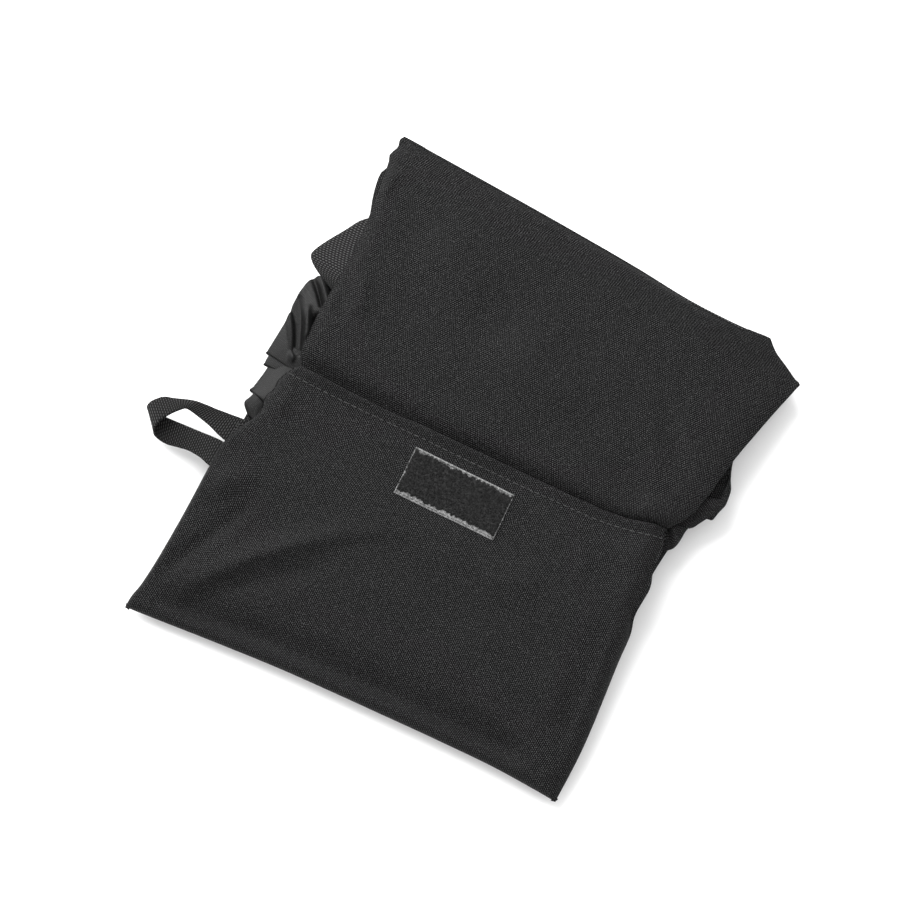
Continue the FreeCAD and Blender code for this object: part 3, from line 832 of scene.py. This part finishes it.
pleatCloth = {"rowsBetween": 9, "dome": 0.54, "relief": 1.3, "lateRegion": 8, "lateRun": 6,
              "waves": (9.0, 0.25, 2.2), "lowest": 13.3, "edgeRadius": 0.6, "edgeRows": 9,
              "thickness": 0.5}


def pleatGrid(pleats):
    # rows from pleat line to pleat line, rounded at the turns, with an outer edge that rolls under
    ends = curveSpans(np.array(pleats["lines"], float), pleatCloth["rowsBetween"])
    inner, outer = ends[:, 0], ends[:, 1]
    u = np.linspace(0, 1, pleats["columns"])[None, :, None]
    grid = inner[:, None] * (1 - u) + outer[:, None] * u
    grid[..., 2] += pleatCloth["dome"] * np.sin(np.pi * u[..., 0])
    share = (np.arange(len(ends)) / pleatCloth["rowsBetween"])[:, None]
    for fold in pleats["folds"]:
        # a fold's region is the pleat line at which it ends; a late one starts a few lines before
        upTo = np.clip(fold["region"] - share, 0, 1)
        if fold["region"] > pleatCloth["lateRegion"]:
            upTo = upTo * np.clip(share - (fold["region"] - pleatCloth["lateRun"]), 0, 1)
        grid[..., 2] += pleatCloth["relief"] * sculpted(grid[..., 0], grid[..., 1], [fold]) * upTo
    waves = softWaves(grid[..., 0], grid[..., 1], *pleatCloth["waves"])
    grid[..., 2] = np.maximum(grid[..., 2] + waves, pleatCloth["lowest"])
    rolled = rollUnder(grid.transpose(1, 0, 2), pleatCloth["edgeRadius"], pleatCloth["edgeRows"])
    return rolled.transpose(1, 0, 2)


# the folded part of each gusset, hidden in the pouch until its mouth is opened; the profile pairs a
# share of the depth with a share of the height
bellows = {
    "left": {"line": [(-112, -126), (-111.5, -110), (-111.5, -84), (-112, -60), (-108, -36), (-104, -16),
                      (-101, -2)], "inward": 1},
    "right": {"line": [(113, -120), (112.5, -100), (111, -80), (107.5, -50), (104, -20), (101, 0),
                       (98, 12)], "inward": -1},
    "profile": [(0, 0.0), (0.35, 0.02), (0.75, 0.1), (1.0, 0.2), (0.75, 0.3), (0.3, 0.38), (0.08, 0.46),
                (0.3, 0.54), (0.75, 0.62), (1.0, 0.72), (0.75, 0.82), (0.35, 0.9), (0.06, 0.96)],
    "depth": 20.0, "rows": 44, "aboveBack": 1.2, "belowTop": 2.6, "leastHeight": 0.6, "thickness": 0.45,
    "bottomFold": -142.0, "lowerHeight": 1.9, "slope": 0.082, "bend": 3.2}


def bellowsGrid(side):
    line = smoothLine(bellows[side]["line"], bellows["rows"])
    inward = bellows[side]["inward"] * bellows["depth"]
    low = stackHeight(line[:, 0], line[:, 1], "middle") + bellows["aboveBack"]
    top = stackHeight(line[:, 0], line[:, 1], "top") - bellows["belowTop"]
    height = np.maximum(top - low, bellows["leastHeight"])
    rows = [np.column_stack([line[:, 0] + inward * depth, line[:, 1], low + height * share])
            for depth, share in bellows["profile"]]
    return np.array(rows).transpose(1, 0, 2)


bottomMiddle = stackHeight(0.0, bellows["bottomFold"], "middle")
bottomTop = stackHeight(0.0, bellows["bottomFold"], "top")
for pouch in ("upper", "lower"):
    hinge = Vector(joints[f"{pouch}_mouth"]["pos_m"])
    height = 0.5 * (bottomMiddle + bottomTop) if pouch == "upper" else bellows["lowerHeight"]
    centre = Vector((hinge.x, hinge.y, height * mm))
    for side, pleats in (("left", leftPleats), ("right", rightPleats)):
        grid = pleatGrid(pleats)
        folded = bellowsGrid(side)
        if pouch == "lower":
            grid = toLower(grid)
            folded = toLower(folded)
        flipped = (side == "left") != (pouch == "lower")
        cloth = gussetCloth if side == "left" else shellCloth
        outer = gridPiece(f"gussetPleats_{side}_{pouch}", grid, cloth, thickness=pleatCloth["thickness"],
                          flipped=not flipped)
        seat(outer, f"{pouch}_pouch", [f"gusset_{side}_{pouch}"])
        hidden = gridPiece(f"gussetBellows_{side}_{pouch}", folded, gussetCloth,
                           thickness=bellows["thickness"], flipped=flipped)
        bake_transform(hidden)
print("gussets are made")


def matchedRibbon(shape):
    # a ribbon between two edge curves that move on together from station to station, so that its
    # ribs stay across; each station is a point on one edge and one on the other
    rows = curveSpans(np.array(shape["stations"], float), shape["perStation"])
    u = np.linspace(0, 1, shape["columns"])[None, :, None]
    grid = rows[:, :1] * (1 - u) + rows[:, 1:] * u
    grid[..., 2] += shape["dome"] * np.sin(np.pi * u[..., 0])
    return grid


def ribbonFlat(grid, width):
    # flat coordinates of webbing: its woven width across, and the run of its middle along
    middle = grid[:, grid.shape[1] // 2]
    run = np.concatenate([[0], np.cumsum(np.linalg.norm(np.diff(middle, axis=0), axis=1))]) * mm
    across = np.linspace(-width / 2, width / 2, grid.shape[1]) * mm
    return np.stack(np.meshgrid(across, run), axis=2)


handleShape = {
    "stations": [((-84, 131, 14.0), (-46, 131, 14.0)), ((-84, 122, 14.2), (-46, 122, 14.2)),
                 ((-84, 113, 14.4), (-46, 113, 14.4)), ((-92, 104, 15.4), (-54, 100, 15.6)),
                 ((-103, 96, 16.2), (-66, 90, 17)), ((-111.6, 88.3, 16.4), (-76, 84, 18)),
                 ((-116.4, 79.8, 15.9), (-80, 78, 18.4)), ((-122.2, 69.4, 15.2), (-85, 69, 18.4)),
                 ((-125.1, 62.4, 14.9), (-88, 62, 18.2)), ((-124.4, 59.2, 14.6), (-89, 58, 17.8)),
                 ((-120.0, 55.8, 14.4), (-88, 53, 17.2)), ((-112.2, 52.2, 14.3), (-85, 48, 16.4)),
                 ((-103, 48.4, 14.2), (-80, 46, 15.8)), ((-84, 40, 14.4), (-70, 56, 16.2)),
                 ((-40, 38, 15), (-38, 70, 16.2)), ((8, 46, 15.4), (-4, 82, 16.6)),
                 ((54, 66, 15.2), (24, 92, 16.4)), ((82, 92, 15.0), (44, 104, 15.6)),
                 ((84, 113, 14.4), (46, 113, 14.4)), ((84, 122, 14.2), (46, 122, 14.2)),
                 ((84, 131, 14.0), (46, 131, 14.0))],
    "width": 38.0, "thickness": 1.5, "dome": 0.5, "columns": 30, "perStation": 12, "bend": (4, -9)}
grid = matchedRibbon(handleShape)
handlePiece = gridPiece("handle", grid, ribbedWebbing, thickness=handleShape["thickness"],
                        flat=ribbonFlat(grid, handleShape["width"]), turned=True)
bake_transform(handlePiece)
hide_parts("handle_webbing", "handle_sewn_ends")

loopShape = {
    "stations": [((-107, -61.5, 15.2), (-107, -47.2, 15.4)),
                 ((-112, -61.2, 15.0), (-112, -47.0, 15.4)),
                 ((-116, -60.6, 14.4), (-116, -46.9, 15.4)),
                 ((-121, -58.9, 12.6), (-121.5, -47, 14.7)),
                 ((-128, -57.9, 10.2), (-128.5, -47.2, 13.0)),
                 ((-134, -58.3, 8.0), (-135.5, -47.3, 11.2)),
                 ((-140, -59.2, 6.4), (-143, -47.5, 9.4)),
                 ((-144.6, -59.2, 6.2), (-150, -47.6, 7.8)),
                 ((-147.6, -58.3, 7.2), (-155, -47.7, 7.6)),
                 ((-149.0, -57.0, 9.4), (-157.6, -47.8, 8.6)),
                 ((-149.2, -56.0, 12.2), (-158.0, -47.4, 10.6)),
                 ((-148.4, -53.8, 14.6), (-157.4, -45.4, 12.2)),
                 ((-147.2, -51.0, 15.6), (-155.6, -43.2, 13.2)),
                 ((-145.0, -47.0, 15.9), (-152.6, -40.4, 13.6)),
                 ((-142.6, -43.6, 15.8), (-148.0, -38.8, 13.8)),
                 ((-140.6, -41.4, 15.4), (-141.6, -36.4, 14.8)),
                 ((-139.0, -40.4, 14.8), (-136.2, -35.0, 16.2)),
                 ((-136.4, -40.4, 14.0), (-131.7, -34.3, 16.4)),
                 ((-131.4, -41.2, 13.6), (-126.6, -33.8, 16.2)),
                 ((-125.0, -42.6, 13.8), (-121.8, -33.2, 16.1)),
                 ((-118.4, -44.8, 14.4), (-117.2, -32.7, 16.1)),
                 ((-112, -46.2, 15.2), (-112, -32.0, 16.0)),
                 ((-107, -46.4, 15.4), (-107, -32.0, 15.9))],
    "width": 14.5, "thickness": 1.3, "dome": 0.25, "columns": 18, "perStation": 10, "bend": (3, -3)}
grid = matchedRibbon(loopShape)
loopPiece = gridPiece("sideLoop", grid, loopWebbing, thickness=loopShape["thickness"],
                      flat=ribbonFlat(grid, loopShape["width"]), turned=True)
loopPiece.modifiers["clothThickness"].offset = 0.0
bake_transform(loopPiece)
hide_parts("side_loop", "side_loop_tab")
print("webbing is made")


def clothHeights(piece, places, fromAbove=True):
    # height of a piece at plan places in mm, looked at from above or from below
    tree = BVHTree.FromPolygons([vertex.co for vertex in piece.data.vertices],
                                [polygon.vertices for polygon in piece.data.polygons])
    start, way = (0.1, -1) if fromAbove else (-0.1, 1)
    heights = []
    for x, y in places:
        hit = tree.ray_cast(Vector((x * mm, y * mm, start)), Vector((0, 0, way)))[0]
        heights.append(hit.z / mm if hit else (heights[-1] if heights else 0.0))
    return np.array(heights)


def stitchTree(name, thread):
    # a row of single stitches along a seam line
    tree = bpy.data.node_groups.new(name, "GeometryNodeTree")
    face = tree.interface
    face.new_socket(name="Seam line", in_out="INPUT", socket_type="NodeSocketGeometry")
    for title in ("Stitch pitch", "Stitch length", "Thread width", "Stitch height"):
        face.new_socket(name=title, in_out="INPUT", socket_type="NodeSocketFloat")
    face.new_socket(name="Stitches", in_out="OUTPUT", socket_type="NodeSocketGeometry")
    nodes = tree.nodes
    given = nodes.new("NodeGroupInput")
    made = nodes.new("NodeGroupOutput")
    line = nodes.new("GeometryNodeMeshToCurve")
    spaced = nodes.new("GeometryNodeResampleCurve")
    heading = nodes.new("GeometryNodeInputTangent")
    turned = nodes.new("FunctionNodeAlignRotationToVector")
    front = nodes.new("ShaderNodeMath")
    back = nodes.new("ShaderNodeMath")
    frontPoint = nodes.new("ShaderNodeCombineXYZ")
    topPoint = nodes.new("ShaderNodeCombineXYZ")
    backPoint = nodes.new("ShaderNodeCombineXYZ")
    arch = nodes.new("GeometryNodeCurveQuadraticBezier")
    radius = nodes.new("ShaderNodeMath")
    section = nodes.new("GeometryNodeCurvePrimitiveCircle")
    single = nodes.new("GeometryNodeCurveToMesh")
    vary = nodes.new("FunctionNodeRandomValue")
    placed = nodes.new("GeometryNodeInstanceOnPoints")
    real = nodes.new("GeometryNodeRealizeInstances")
    finished = nodes.new("GeometryNodeSetMaterial")
    for column, node in enumerate((given, line, spaced, heading, turned, front, back, frontPoint, topPoint,
                                   backPoint, arch, radius, section, single, vary, placed, real, finished,
                                   made)):
        node.location = (column * 190, -(column % 3) * 160)
    spaced.mode = "LENGTH"
    turned.axis = "X"
    front.operation = "MULTIPLY"
    front.inputs[1].default_value = 0.5
    back.operation = "MULTIPLY"
    back.inputs[1].default_value = -0.5
    arch.inputs["Resolution"].default_value = 6
    radius.operation = "MULTIPLY"
    radius.inputs[1].default_value = 0.5
    section.inputs["Resolution"].default_value = 6
    single.inputs["Fill Caps"].default_value = True
    vary.data_type = "FLOAT"
    vary.inputs[2].default_value = 0.86
    vary.inputs[3].default_value = 1.12
    vary.inputs["Seed"].default_value = 4
    finished.inputs["Material"].default_value = thread
    tree.links.new(given.outputs["Seam line"], line.inputs["Mesh"])
    tree.links.new(line.outputs["Curve"], spaced.inputs["Curve"])
    tree.links.new(given.outputs["Stitch pitch"], spaced.inputs["Length"])
    tree.links.new(heading.outputs["Tangent"], turned.inputs["Vector"])
    tree.links.new(given.outputs["Stitch length"], front.inputs[0])
    tree.links.new(given.outputs["Stitch length"], back.inputs[0])
    tree.links.new(front.outputs[0], frontPoint.inputs["X"])
    tree.links.new(back.outputs[0], backPoint.inputs["X"])
    tree.links.new(given.outputs["Stitch height"], topPoint.inputs["Z"])
    tree.links.new(backPoint.outputs["Vector"], arch.inputs["Start"])
    tree.links.new(topPoint.outputs["Vector"], arch.inputs["Middle"])
    tree.links.new(frontPoint.outputs["Vector"], arch.inputs["End"])
    tree.links.new(given.outputs["Thread width"], radius.inputs[0])
    tree.links.new(radius.outputs[0], section.inputs["Radius"])
    tree.links.new(arch.outputs["Curve"], single.inputs["Curve"])
    tree.links.new(section.outputs["Curve"], single.inputs["Profile Curve"])
    tree.links.new(spaced.outputs["Curve"], placed.inputs["Points"])
    tree.links.new(single.outputs["Mesh"], placed.inputs["Instance"])
    tree.links.new(turned.outputs["Rotation"], placed.inputs["Rotation"])
    tree.links.new(vary.outputs[1], placed.inputs["Scale"])
    tree.links.new(placed.outputs["Instances"], real.inputs["Geometry"])
    tree.links.new(real.outputs["Geometry"], finished.inputs["Geometry"])
    tree.links.new(finished.outputs["Geometry"], made.inputs["Stitches"])
    return tree


def pileTree(name, fibre, scattered):
    # bent fibres that stand on a pile base: scattered loops, or hooks on the points of an even net
    tree = bpy.data.node_groups.new(name, "GeometryNodeTree")
    face = tree.interface
    face.new_socket(name="Pile base", in_out="INPUT", socket_type="NodeSocketGeometry")
    for title in ("Fibres per square metre", "Fibre height", "Fibre reach", "Fibre width"):
        face.new_socket(name=title, in_out="INPUT", socket_type="NodeSocketFloat")
    face.new_socket(name="Seed", in_out="INPUT", socket_type="NodeSocketInt")
    face.new_socket(name="Pile", in_out="OUTPUT", socket_type="NodeSocketGeometry")
    nodes = tree.nodes
    given = nodes.new("NodeGroupInput")
    made = nodes.new("NodeGroupOutput")
    spread = nodes.new("GeometryNodeDistributePointsOnFaces")
    topPoint = nodes.new("ShaderNodeCombineXYZ")
    endPoint = nodes.new("ShaderNodeCombineXYZ")
    bow = nodes.new("GeometryNodeCurveQuadraticBezier")
    section = nodes.new("GeometryNodeCurvePrimitiveCircle")
    single = nodes.new("GeometryNodeCurveToMesh")
    lean = nodes.new("FunctionNodeRandomValue")
    vary = nodes.new("FunctionNodeRandomValue")
    placed = nodes.new("GeometryNodeInstanceOnPoints")
    real = nodes.new("GeometryNodeRealizeInstances")
    finished = nodes.new("GeometryNodeSetMaterial")
    for column, node in enumerate((given, spread, topPoint, endPoint, bow, section, single, lean, vary,
                                   placed, real, finished, made)):
        node.location = (column * 190, -(column % 3) * 160)
    bow.inputs["Resolution"].default_value = 5
    section.inputs["Resolution"].default_value = 4
    single.inputs["Fill Caps"].default_value = True
    lean.data_type = "FLOAT_VECTOR"
    tilt = 0.7 if scattered else 0.12
    lean.inputs[0].default_value = (-tilt, -tilt, 0)
    lean.inputs[1].default_value = (tilt, tilt, 6.28 if scattered else 0.3)
    vary.data_type = "FLOAT"
    vary.inputs[2].default_value = 0.6
    vary.inputs[3].default_value = 1.3
    finished.inputs["Material"].default_value = fibre
    tree.links.new(given.outputs["Fibre height"], topPoint.inputs["Z"])
    tree.links.new(given.outputs["Fibre reach"], topPoint.inputs["X"])
    tree.links.new(given.outputs["Fibre reach"], endPoint.inputs["X"])
    tree.links.new(topPoint.outputs["Vector"], bow.inputs["Middle"])
    tree.links.new(endPoint.outputs["Vector"], bow.inputs["End"])
    bow.inputs["Start"].default_value = (0, 0, 0)
    tree.links.new(given.outputs["Fibre width"], section.inputs["Radius"])
    tree.links.new(bow.outputs["Curve"], single.inputs["Curve"])
    tree.links.new(section.outputs["Curve"], single.inputs["Profile Curve"])
    tree.links.new(given.outputs["Seed"], lean.inputs["Seed"])
    tree.links.new(given.outputs["Seed"], vary.inputs["Seed"])
    if scattered:
        tree.links.new(given.outputs["Pile base"], spread.inputs["Mesh"])
        tree.links.new(given.outputs["Fibres per square metre"], spread.inputs["Density"])
        tree.links.new(given.outputs["Seed"], spread.inputs["Seed"])
        tree.links.new(spread.outputs["Points"], placed.inputs["Points"])
    else:
        nodes.remove(spread)
        tree.links.new(given.outputs["Pile base"], placed.inputs["Points"])
    tree.links.new(single.outputs["Mesh"], placed.inputs["Instance"])
    tree.links.new(lean.outputs[0], placed.inputs["Rotation"])
    tree.links.new(vary.outputs[1], placed.inputs["Scale"])
    tree.links.new(placed.outputs["Instances"], real.inputs["Geometry"])
    tree.links.new(real.outputs["Geometry"], finished.inputs["Geometry"])
    tree.links.new(finished.outputs["Geometry"], made.inputs["Pile"])
    return tree


def grown(name, mesh, tree, sizes):
    # the result of a node tree on a mesh, as a plain mesh piece
    carrier = bpy.data.objects.new(name + "Carrier", mesh)
    bpy.context.collection.objects.link(carrier)
    nodesModifier = carrier.modifiers.new("grow", "NODES")
    nodesModifier.node_group = tree
    for item in tree.interface.items_tree:
        if item.name in sizes:
            nodesModifier[item.identifier] = sizes[item.name]
    bpy.context.view_layer.update()
    evaluated = carrier.evaluated_get(bpy.context.evaluated_depsgraph_get())
    result = bpy.data.meshes.new_from_object(evaluated)
    carrier.modifiers.remove(nodesModifier)
    bpy.data.objects.remove(carrier)
    result.name = name
    result.polygons.foreach_set("use_smooth", [True] * len(result.polygons))
    piece = bpy.data.objects.new(name, result)
    bpy.context.collection.objects.link(piece)
    return piece


def seamMesh(name, lines):
    # one edge chain for each seam line, given in mm
    corners = []
    edges = []
    for line in lines:
        first = len(corners)
        corners += [tuple(point * mm) for point in np.array(line, float)]
        edges += [(k, k + 1) for k in range(first, len(corners) - 1)]
    mesh = bpy.data.meshes.new(name)
    mesh.from_pydata(corners, edges, [])
    return mesh


def onCloth(piece, line, count, lift, fromAbove=True):
    # a plan line laid on a piece of cloth
    plan = smoothLine(line, count)[:, :2]
    heights = clothHeights(piece, plan, fromAbove) + (lift if fromAbove else -lift)
    return np.column_stack([plan, heights])


clothStitches = stitchTree("clothStitches", seamThread)
stitchSizes = {"Stitch pitch": 3.9 * mm, "Stitch length": 2.4 * mm, "Thread width": 0.42 * mm,
               "Stitch height": 0.36 * mm}
fineSizes = {"Stitch pitch": 2.2 * mm, "Stitch length": 1.6 * mm, "Thread width": 0.26 * mm,
             "Stitch height": 0.3 * mm}
hemSeam = {"line": [(-101, -2.0), (-87, -1.9), (-60, -1.2), (-28.8, 0.2), (6.1, 1.4), (49.9, 4.0),
                    (70.9, 6.0), (92, 10.5), (99.5, 13.5)], "points": 120, "lift": 0.02}
loopPatch = {"corners": [(-28.3, -4.8), (26.3, -3.2), (28.2, -28.7), (-26.6, -30.7)],
             "net": (60, 28), "lift": 0.45, "padNet": (110, 50), "padLift": 0.47, "inset": (0.3, 1.5, 2.5),
             "ragged": 0.9, "raggedShare": (0.5, 1.6), "pileHeight": 0.9, "lowerPile": 0.5,
             "seamShare": (0.975, 0.93), "seamLift": 0.62, "fibres": 3.4e6, "lowerFibres": 0.3,
             "fibreHeight": 1.1 * mm, "lowerHeight": 0.6, "fibreReach": 0.7 * mm,
             "fibreWidth": 0.055 * mm}
hookPatch = {"corners": [(-27.5, 51.0), (25.2, 54.0), (26.5, 29.0), (-28.8, 26.0)],
             "net": (40, 20), "lift": -0.62, "hookNet": (34, 16), "hookInset": (1, 1, 1),
             "hookLift": -1.0, "hookHeight": 1.5 * mm, "hookReach": 0.5 * mm, "hookWidth": 0.09 * mm}
patchThickness = 0.4

# binding tape over the bottom and side seams, inside on the back panel
binding = {
    "bottom_tape": [(-108, -133), (-63, -129), (-20, -124.6), (32, -121.2), (70, -119.4), (107, -118.6)],
    "side_tape_left": [(-104, -122), (-103, -8)],
    "side_tape_right": [(102, -114), (98, -4)]}
bindingTapes = {"halfWidth": 5.2, "shares": (-1, -0.33, 0.33, 1), "rise": 1.2, "points": 60,
                "waves": (9.0, 0.3, 1.4), "thickness": 0.5}


def patchPlan(corners, net, inset=(0, 0, 0)):
    # an even net over a four-cornered patch, drawn in at its ends, top and bottom
    across, along = net
    topLeft, topRight, bottomRight, bottomLeft = [np.array(corner, float) for corner in corners]
    wide = np.linalg.norm(topRight - topLeft)
    high = np.linalg.norm(topLeft - bottomLeft)
    u = np.linspace(inset[0] / wide, 1 - inset[0] / wide, across)[None, :, None]
    v = np.linspace(inset[2] / high, 1 - inset[1] / high, along)[:, None, None]
    return (bottomLeft * (1 - u) + bottomRight * u) * (1 - v) + (topLeft * (1 - u) + topRight * u) * v


def laidOn(piece, plan, lift, fromAbove=True):
    heights = clothHeights(piece, plan.reshape(-1, 2), fromAbove).reshape(plan.shape[:2])
    return np.concatenate([plan, (heights + (lift if fromAbove else -lift))[..., None]], axis=2)


loopPile = pileTree("loopPile", darkPile, True)
hookPile = pileTree("hookPile", darkPile, False)
for pouch in ("upper", "lower"):
    above = pouch == "upper"
    panel = bpy.data.objects[f"frontPanel_{pouch}"]
    flapPiece = bpy.data.objects[f"flapCloth_{pouch}"]
    corners = loopPatch["corners"] if above else toLowerPlan(loopPatch["corners"])

    backing = laidOn(panel, patchPlan(corners, loopPatch["net"]), loopPatch["lift"], above)
    tape = gridPiece(f"loopTape_{pouch}", backing, paleSelvage, thickness=patchThickness, flipped=not above)
    seat(tape, f"{pouch}_front", [f"loop_patch_{pouch}"])

    across, along = loopPatch["padNet"]
    plan = patchPlan(corners, loopPatch["padNet"], loopPatch["inset"])
    edge = np.minimum.outer(np.minimum(np.arange(along), np.arange(along)[::-1]),
                            np.minimum(np.arange(across), np.arange(across)[::-1]))
    ragged = softWaves(plan[..., 0], plan[..., 1], 1.3, loopPatch["ragged"], 6.6)
    plan = plan + ragged[..., None] * np.exp(-edge / 1.5)[..., None] * loopPatch["raggedShare"]
    inner = np.clip(edge / 2, 0, 1)
    rise = (loopPatch["pileHeight"] * inner ** 0.5
            + softWaves(plan[..., 0], plan[..., 1], 2.1, 0.35, 4.2) * inner)
    pad = laidOn(panel, plan, loopPatch["padLift"], above)
    pad[..., 2] += rise if above else -loopPatch["lowerPile"] * rise
    base = gridPiece(f"loopPad_{pouch}", pad, darkPile, thickness=0, flipped=not above)
    seat(base, f"{pouch}_front")
    density = loopPatch["fibres"] * (1 if above else loopPatch["lowerFibres"])
    standing = loopPatch["fibreHeight"] * (1 if above else -loopPatch["lowerHeight"])
    pileSizes = {"Fibres per square metre": density, "Fibre height": standing,
                 "Fibre reach": loopPatch["fibreReach"], "Fibre width": loopPatch["fibreWidth"],
                 "Seed": 11}
    fibres = grown(f"loopPile_{pouch}", base.data.copy(), loopPile, pileSizes)
    seat(fibres, f"{pouch}_front")

    middle = np.mean(corners, axis=0)
    drawnIn = [tuple(middle + (np.array(corner) - middle) * loopPatch["seamShare"]) for corner in corners]
    sides = [[drawnIn[k], drawnIn[(k + 1) % 4]] for k in range(4)]
    seams = seamMesh(f"patchSeam_{pouch}", [onCloth(panel, side, 30, loopPatch["seamLift"], above)
                                            for side in sides])
    ring = grown(f"patchStitches_{pouch}", seams, clothStitches, fineSizes)
    seat(ring, f"{pouch}_front", [f"patch_stitching_{pouch}"])

    seam = hemSeam["line"] if above else toLowerPlan(hemSeam["line"])
    laid = onCloth(panel, seam, hemSeam["points"], hemSeam["lift"], above)
    row = grown(f"hemStitches_{pouch}", seamMesh(f"hemSeam_{pouch}", [laid]), clothStitches, stitchSizes)
    seat(row, f"{pouch}_front", [f"hem_stitching_{pouch}"])

    corners = hookPatch["corners"] if above else toLowerPlan(hookPatch["corners"])
    backing = laidOn(flapPiece, patchPlan(corners, hookPatch["net"]), hookPatch["lift"], above)
    tape = gridPiece(f"hookTape_{pouch}", backing, bindingTape, thickness=patchThickness, flipped=not above)
    seat(tape, f"{pouch}_flap", [f"hook_patch_{pouch}"])
    hookPlan = patchPlan(corners, hookPatch["hookNet"], hookPatch["hookInset"])
    net = laidOn(flapPiece, hookPlan, hookPatch["hookLift"], above)
    netMesh = bpy.data.meshes.new(f"hookNet_{pouch}")
    netMesh.from_pydata((net.reshape(-1, 3) * mm).tolist(), [], [])
    hookSizes = {"Fibre height": hookPatch["hookHeight"] * (-1 if above else 1),
                 "Fibre reach": hookPatch["hookReach"], "Fibre width": hookPatch["hookWidth"], "Seed": 5}
    hooks = grown(f"hooks_{pouch}", netMesh, hookPile, hookSizes)
    seat(hooks, f"{pouch}_flap")

    for part, centre in binding.items():
        line = smoothLine(centre if above else toLowerPlan(centre), bindingTapes["points"])
        sideways = np.array([0, 1] if part == "bottom_tape" else [1, 0]) * bindingTapes["halfWidth"]
        plan = np.stack([line + sideways * share for share in bindingTapes["shares"]], axis=1)
        height = stackHeight(plan[..., 0], plan[..., 1], "middle")
        height = height + (bindingTapes["rise"] if above else -bindingTapes["rise"])
        height = height + softWaves(plan[..., 0], plan[..., 1], *bindingTapes["waves"])
        strip = gridPiece(f"{part}_{pouch}Binding", np.concatenate([plan, height[..., None]], axis=2),
                          bindingTape, thickness=bindingTapes["thickness"],
                          flipped=(part == "bottom_tape") == above)
        seat(strip, f"{pouch}_pouch", [f"{part}_{pouch}"])
print("patches, seams and tapes are made")

# box stitching on the handle's sewn ends, and the side loop's bar tack
boxShape = {"sides": ((-80.5, -49.5), (49.5, 80.5)), "near": 118.5, "far": 129, "lift": 0.05, "points": 24}
tackShape = {"first": (-112.6, -59.5), "run": (2.0, 0.75), "rowPitch": 1.5, "rows": 17,
             "shifts": (0.0, 0.7), "lift": 0.75, "points": 3}
boxRows = []
for west, east in boxShape["sides"]:
    square = [(west, boxShape["near"]), (east, boxShape["near"]), (east, boxShape["far"]),
              (west, boxShape["far"])]
    boxRows += [[square[k], square[(k + 1) % 4]] for k in range(4)]
    boxRows += [[square[0], square[2]], [square[1], square[3]]]
boxSeam = seamMesh("boxSeam", [onCloth(handlePiece, row, boxShape["points"], boxShape["lift"])
                               for row in boxRows])
boxStitches = grown("handleBoxStitches", boxSeam, clothStitches, fineSizes)
seat(boxStitches, "upper_pouch", ["handle_box_stitching"])
tackRows = []
for k in range(tackShape["rows"]):
    for shift in tackShape["shifts"]:
        x = tackShape["first"][0] + shift
        y = tackShape["first"][1] + tackShape["rowPitch"] * k
        tackRows.append([(x, y), (x + tackShape["run"][0], y + tackShape["run"][1])])
tackSeam = seamMesh("tackSeam", [onCloth(loopPiece, row, tackShape["points"], tackShape["lift"])
                                 for row in tackRows])
barTack = grown("loopBarTack", tackSeam, clothStitches, dict(fineSizes, **{"Stitch pitch": 1.2 * mm}))
seat(barTack, "upper_pouch", ["side_loop_bartack"])
print("sewing on the webbing is made")
